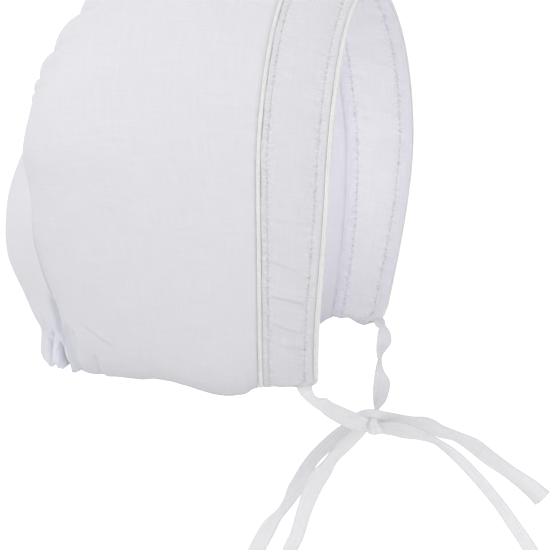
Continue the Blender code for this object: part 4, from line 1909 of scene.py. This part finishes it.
UNDERSIDE_WAY = 9.0 * MM  # keeps the weave on a tape's two faces apart

NEAR_TIE_ROUTE = route(
    (-44.1, -36.4, -122.4, 88.0, 5.2, 0.05),
    (-42.9, -36.9, -125.5, 88.0, 4.7, 0.15),
    (-42.5, -37.8, -127.1, 78.0, 3.6, 0.25),
    (-41.1, -38.9, -128.9, 60.0, 3.3, 0.3),
    (-38.0, -40.2, -130.9, 30.0, 4.3, 0.2),
    (-33.0, -41.7, -134.1, 6.0, 5.1),
    (-26.5, -43.1, -137.5, 0.0, 5.6),
    (-18.0, -44.3, -141.4, 0.0, 5.9),
    (-9.5, -45.0, -144.9, 0.0, 5.6, 0.1),
    (-4.1, -45.6, -147.0, 0.0, 4.4, 0.25),
    (-1.5, -46.8, -147.6, 0.0, 3.2, 0.3),
)

FAR_TIE_ROUTE = route(
    (43.9, -39.2, -124.0, 86.0, 3.0, 0.1),
    (42.6, -40.2, -125.6, 86.0, 3.6, 0.3),
    (41.8, -41.0, -126.6, 80.0, 2.4, 0.4),
    (39.5, -42.1, -127.9, 84.0, 4.2, 0.2),
    (36.0, -43.1, -129.3, 92.0, 4.9, 0.1),
    (31.0, -43.6, -131.5, 130.0, 5.0),
    (26.0, -44.4, -133.6, 178.0, 5.2),
    (18.5, -46.6, -136.3, 232.0, 5.4),
    (12.0, -48.0, -139.2, 272.0, 5.5),
    (7.0, -48.3, -142.0, 300.0, 5.0, 0.1),
    (3.0, -47.8, -144.6, 350.0, 3.8, 0.3),
    (1.4, -47.4, -146.4, 350.0, 3.0, 0.3),
)

UPPER_TAIL_ROUTE = route(
    (-1.2, -42.2, -146.5, 0.0, 3.4, 0.2),
    (-1.6, -45.3, -145.0, 0.0, 3.8, 0.2),
    (-1.4, -48.6, -144.6, 0.0, 4.0, 0.2),
    (1.9, -51.6, -146.2, 0.0, 4.6, 0.1),
    (2.4, -56.8, -147.1, 0.0, 5.3),
    (3.2, -60.8, -147.7, 0.0, 5.3),
    (4.2, -65.2, -147.9, 8.0, 5.4),
    (5.0, -69.7, -150.0, 14.0, 5.0),
    (6.0, -74.5, -151.7, 20.0, 4.4, 0.1),
    (7.0, -80.0, -154.3, 8.0, 5.5),
    (7.6, -84.6, -157.8, 0.0, 5.4),
    (8.6, -91.9, -163.1, 0.0, 4.9, 0.1),
    (9.4, -98.2, -167.8, 0.0, 5.9, 0.2),
    (10.0, -102.5, -172.1, 0.0, 6.8, 0.3),
)

LOWER_TAIL_ROUTE = route(
    (-0.8, -48.4, -148.4, 0.0, 3.0, 0.3),
    (-1.4, -52.2, -148.8, 0.0, 4.4, 0.2),
    (-2.4, -55.4, -148.3, 0.0, 5.2, 0.1),
    (-3.2, -59.6, -148.3, 0.0, 5.3),
    (-4.0, -64.1, -148.8, 10.0, 4.6),
    (-4.6, -69.6, -150.7, 35.0, 4.4, 0.1),
    (-5.0, -77.0, -155.3, 10.0, 4.0, 0.1),
    (-5.0, -83.7, -161.4, 0.0, 4.0, 0.1),
    (-5.0, -91.4, -170.1, 0.0, 4.1, 0.1),
    (-5.0, -101.6, -184.1, 0.0, 4.8, 0.1),
    (-5.0, -104.1, -188.7, 0.0, 5.0, 0.15),
)

BOW_LOOP_ROUTE = route(
    (0.3, -46.4, -148.4, 0.0, 3.0, 0.3),
    (1.15, -42.8, -149.4, 0.0, 4.2, 0.2),
    (2.0, -38.4, -151.6, 0.0, 4.8, 0.1),
    (2.6, -31.9, -157.2, 18.0, 4.6),
    (2.6, -27.0, -162.7, 28.0, 4.8),
    (2.2, -22.7, -170.7, 0.0, 5.2),
    (1.8, -17.8, -178.8, 48.0, 5.0, 0.1),
    (1.6, -15.6, -182.0, 50.0, 5.0, 0.1),
    (1.2, -12.6, -186.8, 14.0, 5.4),
    (0.6, -8.8, -194.5),
    (0.0, -5.9, -201.7),
    (-1.0, -5.9, -207.6),
    (-2.0, -10.0, -211.4),
    (-3.0, -15.7, -208.8),
    (-4.0, -19.4, -201.5),
    (-4.4, -21.5, -191.7, 0.0, 4.8, 0.1),
    (-4.7, -23.6, -187.1, 0.0, 4.8, 0.1),
    (-5.0, -26.4, -178.1, 0.0, 5.0),
    (-5.2, -28.6, -171.6, 0.0, 5.6),
    (-5.4, -31.2, -166.0, 8.0, 6.0),
    (-5.4, -33.2, -163.3, 30.0, 5.8),
    (-5.2, -35.5, -160.6, 48.0, 5.6, 0.1),
    (-4.3, -40.0, -154.9, 24.0, 4.8, 0.2),
    (-1.8, -43.6, -150.7, 0.0, 4.0, 0.25),
    (-0.6, -46.6, -148.0, 0.0, 2.8, 0.3),
)


@dataclass
class Tape:
    """A flat cotton tape that follows a route."""

    name: str
    node: str
    route: tuple[TiePoint, ...]
    facing: Facing
    far_end: str
    seed: int
    shade: float = 0.0
    start_shade: float = 0.0
    start_reach: float = 5.0 * MM
    edge_shade: float = 0.08
    edge_from: float = 0.75
    fold: float = 0.0
    fold_at: float = -0.35
    fold_width: float = 0.16
    thickness: float = 0.7 * MM
    full_width: float = 5.5 * MM
    bunching: float = 0.9
    edge_roundness: float = 0.75
    face_roundness: float = 0.45
    crease_height: float = 0.08 * MM
    crease_lengths: tuple[float, float] = (2.2 * MM, 6.0 * MM)
    crease_spread: float = 0.16
    crease_stretch: float = 1.6
    wave_height: float = 0.2 * MM
    wave_lengths: tuple[float, float] = (12.0 * MM, 30.0 * MM)
    wave_spread: float = 0.6
    sides: int = 40
    step: float = 0.45 * MM

    def centre(self) -> np.ndarray:
        """The middle line: places in metres, roll in radians, width in metres and cupping.

        Returns:
            A row for each point of the line.
        """
        rows = np.array(self.route) * [MM, MM, MM, math.pi / 180, MM, 1.0]
        gaps = np.sqrt(np.linalg.norm(np.diff(rows[:, :3], axis=0), axis=1))
        knots = np.concatenate([[0.0], np.cumsum(gaps)])
        line = curve(knots, rows, np.linspace(0.0, knots[-1], LINE_SAMPLES))
        return spaced(line, round(distances(line)[-1] / self.step) + 1)

    def around(self) -> np.ndarray:
        """Angles of a ring's points, none of them right on an edge."""
        return np.linspace(0.0, 2 * math.pi, self.sides, endpoint=False) + math.pi / self.sides

    def lift(self, line: np.ndarray, side: np.ndarray, rise: np.ndarray, cross_way: np.ndarray) -> np.ndarray:
        """How far the points of the rings lie off the tape's middle plane.

        Args:
            line: The middle line.
            side: Shares from one edge to the other, for each point of a ring.
            rise: Shares from one face to the other, for each point of a ring.
            cross_way: Distances from the middle line across the tape.

        Returns:
            Distances for each point.
        """
        run = distances(line)[:, None]
        bunched = 1.0 + self.bunching * np.clip(1 - line[:, 4:5] / self.full_width, 0.0, 1.0)
        lengths = self.crease_lengths
        crease = Ripples(self.seed, *lengths, math.pi / 2, self.crease_spread, 6, self.crease_height)
        wave = Ripples(self.seed + 5, *self.wave_lengths, spread=self.wave_spread, height=self.wave_height)
        lift = self.thickness / 2 * bunched * rise
        lift = lift + line[:, 5:6] * side**2 * line[:, 4:5]
        lift = lift + crease.at(run, cross_way * self.crease_stretch) + wave.at(run, cross_way)
        return lift + self.fold * smooth((side - self.fold_at) / self.fold_width + 0.5)

    def rings(self, line: np.ndarray) -> tuple[np.ndarray, np.ndarray]:
        """Rings of points round the middle line.

        Args:
            line: The middle line.

        Returns:
            The rings, and the distances along and around for each point.
        """
        tangent = unit(np.gradient(line[:, :3], axis=0))
        across = unit(np.cross(np.array(self.facing.value), tangent))
        face = np.cross(tangent, across)
        roll = line[:, 3:4]
        wide = across * np.cos(roll) + face * np.sin(roll)
        thick = np.cross(tangent, wide)
        cosine = np.cos(self.around())
        sine = np.sin(self.around())
        side = (np.sign(cosine) * np.abs(cosine) ** self.edge_roundness)[None, :]
        rise = (np.sign(sine) * np.abs(sine) ** self.face_roundness)[None, :]
        cross_way = side * line[:, 4:5] / 2
        lift = self.lift(line, side, rise, cross_way)
        rings = line[:, None, :3] + cross_way[..., None] * wide[:, None, :]
        rings = rings + lift[..., None] * thick[:, None, :]
        on_faces = cross_way + (rise > 0) * UNDERSIDE_WAY
        return rings, np.stack(np.broadcast_arrays(distances(line)[:, None], on_faces), axis=-1)

    def build(self, finish: bpy.types.Material) -> bpy.types.Object:
        """Makes the tape.

        Args:
            finish: The tape's material.

        Returns:
            The finished piece.
        """
        rings, ways = self.rings(self.centre())
        piece = tube_of(rings, ways)
        light = 1 - self.shade - self.start_shade * hill(ways[..., 0], self.start_reach)
        to_edge = (np.abs(np.cos(self.around())) - self.edge_from) / (1 - self.edge_from)
        light = light - self.edge_shade * smooth(to_edge)
        store(piece, PAINTED_SHADE, np.repeat(light[..., None], 3, axis=-1))
        finish_piece(piece, self.name, finish)
        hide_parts(self.node)
        return piece

    def declare(self, piece: bpy.types.Object, with_pieces: tuple = ()) -> None:
        """Works out the tape's middle line, and nothing more.

        Args:
            piece: The tape. Not used.
            with_pieces: Pieces on it. Not used.
        """
        line = self.centre()[:, :3]


TAPES = (
    Tape("near_tie_tape", "near_tie", NEAR_TIE_ROUTE, Facing.FRONT, "knot", 81, start_shade=0.1),
    Tape("far_tie_tape", "far_tie", FAR_TIE_ROUTE, Facing.FRONT, "knot", 82, shade=0.1, start_shade=0.12),
    Tape("upper_tail_tape", "tail_upper", UPPER_TAIL_ROUTE, Facing.SIDE, "bare", 83),
    Tape("lower_tail_tape", "tail_lower", LOWER_TAIL_ROUTE, Facing.SIDE, "bare", 84, fold=0.35 * MM),
    Tape("bow_loop_tape", "bow_loop", BOW_LOOP_ROUTE, Facing.SIDE, "object", 85),
)


@dataclass
class Knot:
    """The small knot under the chin: a tight lump of tape, wider below, with the folds of its wrap."""

    finish: bpy.types.Material
    centre: tuple[float, float, float] = (-0.3 * MM, -48.5 * MM, -148.0 * MM)
    radius_side: float = 3.1 * MM
    radius_height: float = 3.2 * MM
    half_length: float = 2.7 * MM
    flare: float = 0.36
    unevenness: float = 0.05
    lean: float = 0.12
    fullness: float = 2.4
    fold_depth: float = 0.05
    folds: float = 7.5
    fine_folds: float = 13.0
    rings: int = 41
    sides: int = 64
    end_share: float = 0.985

    def build(self) -> bpy.types.Object:
        """Makes the knot.

        Returns:
            The finished piece.
        """
        turn = np.linspace(0.0, 2 * math.pi, self.sides, endpoint=False)[None, :]
        side = quarter_wave(np.linspace(-1.0, 1.0, self.rings) * self.end_share)[:, None]
        half = 1 - self.flare * np.sin(turn) + self.unevenness * np.sin(turn * 2 + 0.6)
        reach = (1 - np.abs(side) ** self.fullness) ** (1 / self.fullness)
        folds = np.cos(side * self.folds + 0.9 * np.sin(turn + 0.8))
        folds = folds + 0.6 * np.cos(side * self.fine_folds - 0.7 * np.sin(turn))
        reach = reach * (1 + self.fold_depth * folds)
        x = self.radius_side * np.cos(turn) * reach
        z = self.radius_height * np.sin(turn) * reach
        y = side * self.half_length * half + self.lean * z
        rings = np.stack(np.broadcast_arrays(x, y, z), axis=-1) + np.array(self.centre)
        run = np.broadcast_to(turn * self.radius_side, y.shape)
        ways = np.stack([run, np.broadcast_to(side * self.half_length, y.shape)], axis=-1)
        piece = tube_of(rings, ways)
        finish_piece(piece, "knot_wrap", self.finish)
        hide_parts("tie_knot")
        return piece


# Studio


class Lamp(NamedTuple):
    """A round soft light: its name, its place, the point it shines at, its diameter and its watts."""

    name: str
    place: tuple[float, float, float]
    aim: tuple[float, float, float]
    size: float
    power: float


@dataclass(frozen=True)
class Studio:
    """Camera, floor and light."""

    azimuth: float = -73.807
    elevation: float = 12.136
    distance: float = 1.053017
    aim: tuple[float, float, float] = (0.0, 0.0, -75.0 * MM)
    frame_width: float = 178.75 * MM
    sensor: float = 36.0
    shift: tuple[float, float] = (0.0801, -0.1422)
    sight: float = 50.0
    floor_level: float = -0.26
    floor_size: float = 9.0
    floor_tone: float = 0.86
    floor_roughness: float = 0.9
    floor_glow: float = 0.5
    sky: float = 0.725
    lamps: tuple[Lamp, ...] = (
        Lamp("key_light", place=(-0.40, 0.30, 0.50), aim=(0.0, 0.0, -0.07), size=0.6, power=1.4),
        Lamp("front_light", place=(-0.30, -0.42, -0.17), aim=(0.0, -0.06, -0.14), size=0.35, power=0.32),
        Lamp("back_light", place=(-0.45, 0.50, 0.18), aim=(0.0, 0.02, -0.07), size=0.5, power=0.5),
    )
    fill_power: float = 0.042
    fill_place: tuple[float, float, float] = (12.0 * MM, -24.0 * MM, -72.0 * MM)
    fill_radius: float = 0.03

    def camera(self) -> None:
        """Adds the camera at the photo's angle."""
        turn = math.radians(self.azimuth)
        rise = math.radians(self.elevation)
        back = Vector((math.sin(turn) * math.cos(rise), -math.cos(turn) * math.cos(rise), math.sin(rise)))
        place = Vector(self.aim) + back * self.distance
        bpy.ops.object.camera_add(location=place, rotation=(-back).to_track_quat("-Z", "Y").to_euler())
        made = bpy.context.object
        made.name = "camera"
        made.data.sensor_width = self.sensor
        made.data.lens = self.sensor * self.distance / self.frame_width
        made.data.shift_x, made.data.shift_y = self.shift
        made.data.clip_end = self.sight
        bpy.context.scene.camera = made

    def floor(self) -> None:
        """Adds a plain pale floor that looks overexposed but doesn't light the bonnet."""
        deselect()
        bpy.ops.mesh.primitive_plane_add(size=self.floor_size, location=(0.0, 0.0, self.floor_level))
        made = bpy.context.object
        made.name = "floor"
        pale = bpy.data.materials.new("pale_floor")
        pale.use_nodes = True
        sheet = NodeSheet(pale.node_tree)
        rays = sheet.add("ShaderNodeLightPath", {}).outputs["Is Camera Ray"]
        values = {
            "Base Color": (self.floor_tone, self.floor_tone, self.floor_tone, 1.0),
            "Roughness": self.floor_roughness,
            "Emission Color": (1.0, 1.0, 1.0, 1.0),
            "Emission Strength": sheet.math("MULTIPLY", rays, self.floor_glow),
        }
        sheet.fill(pale.node_tree.nodes["Principled BSDF"], values)
        made.data.materials.append(pale)

    def light(self) -> None:
        """Adds an even sky, three soft lights and a faint fill inside the bonnet."""
        world = bpy.data.worlds.new("sky")
        bpy.context.scene.world = world
        world.use_nodes = True
        sky = {"Color": (1.0, 1.0, 1.0, 1.0), "Strength": self.sky}
        NodeSheet(world.node_tree).fill(world.node_tree.nodes["Background"], sky)
        for lamp in self.lamps:
            way = Vector(lamp.aim) - Vector(lamp.place)
            turn = way.to_track_quat("-Z", "Y").to_euler()
            bpy.ops.object.light_add(type="AREA", location=lamp.place, rotation=turn)
            made = bpy.context.object
            made.name = lamp.name
            made.data.shape = "DISK"
            made.data.size = lamp.size
            made.data.energy = lamp.power
        bpy.ops.object.light_add(type="POINT", location=self.fill_place)
        fill = bpy.context.object
        fill.name = "inner_fill"
        fill.data.shadow_soft_size = self.fill_radius
        fill.data.energy = self.fill_power
        fill.visible_camera = False
        bpy.context.scene.view_settings.view_transform = "Standard"


def main() -> None:
    """Builds and dresses every piece of the bonnet, and reports each."""
    logging.basicConfig(level=logging.INFO, format="%(message)s")
    studio = Studio()
    studio.camera()
    form = BonnetForm()
    weave = weave_group()
    cotton = COTTON.material(weave)
    band_cotton = BAND_COTTON_LIGHTENED.material(weave)
    Seams().pierce(band_cotton, needle_hole_group(), form.seam_line().length / 2)
    tape_cotton = TAPE_COTTON.material(weave)
    ivory = IVORY_SATIN.material(weave)
    thread = WHITE_THREAD.material(weave)

    made = [tape.build(tape_cotton) for tape in TAPES]
    knot = Knot(tape_cotton).build()
    for tape, piece in zip(TAPES, made):
        tape.declare(piece, (knot,) if tape.node == "near_tie" else ())

    Crown(form, cotton).build()
    BackPanel(form, cotton).build()
    band = Band(form, band_cotton)
    band.build()
    edge = form.opening_line(form.corner_rise)
    Piping("seam_cord", "seam_piping", form.seam_line(), ivory, 0.63 * MM).build()
    Piping("edge_cord", "edge_piping", edge, ivory, 0.78 * MM, end_length=2.5 * MM).build()
    for name, surface in (("band_stitches", band.at), ("lining_stitches", band.lining_at)):
        stitches = Stitches(name, thread, "band_cotton")
        for row in band.stitch_rows(surface):
            stitches.sew(row, inwards=name == "lining_stitches")
        stitches.build()
    studio.floor()
    studio.light()


if __name__ == "__main__":
    main()
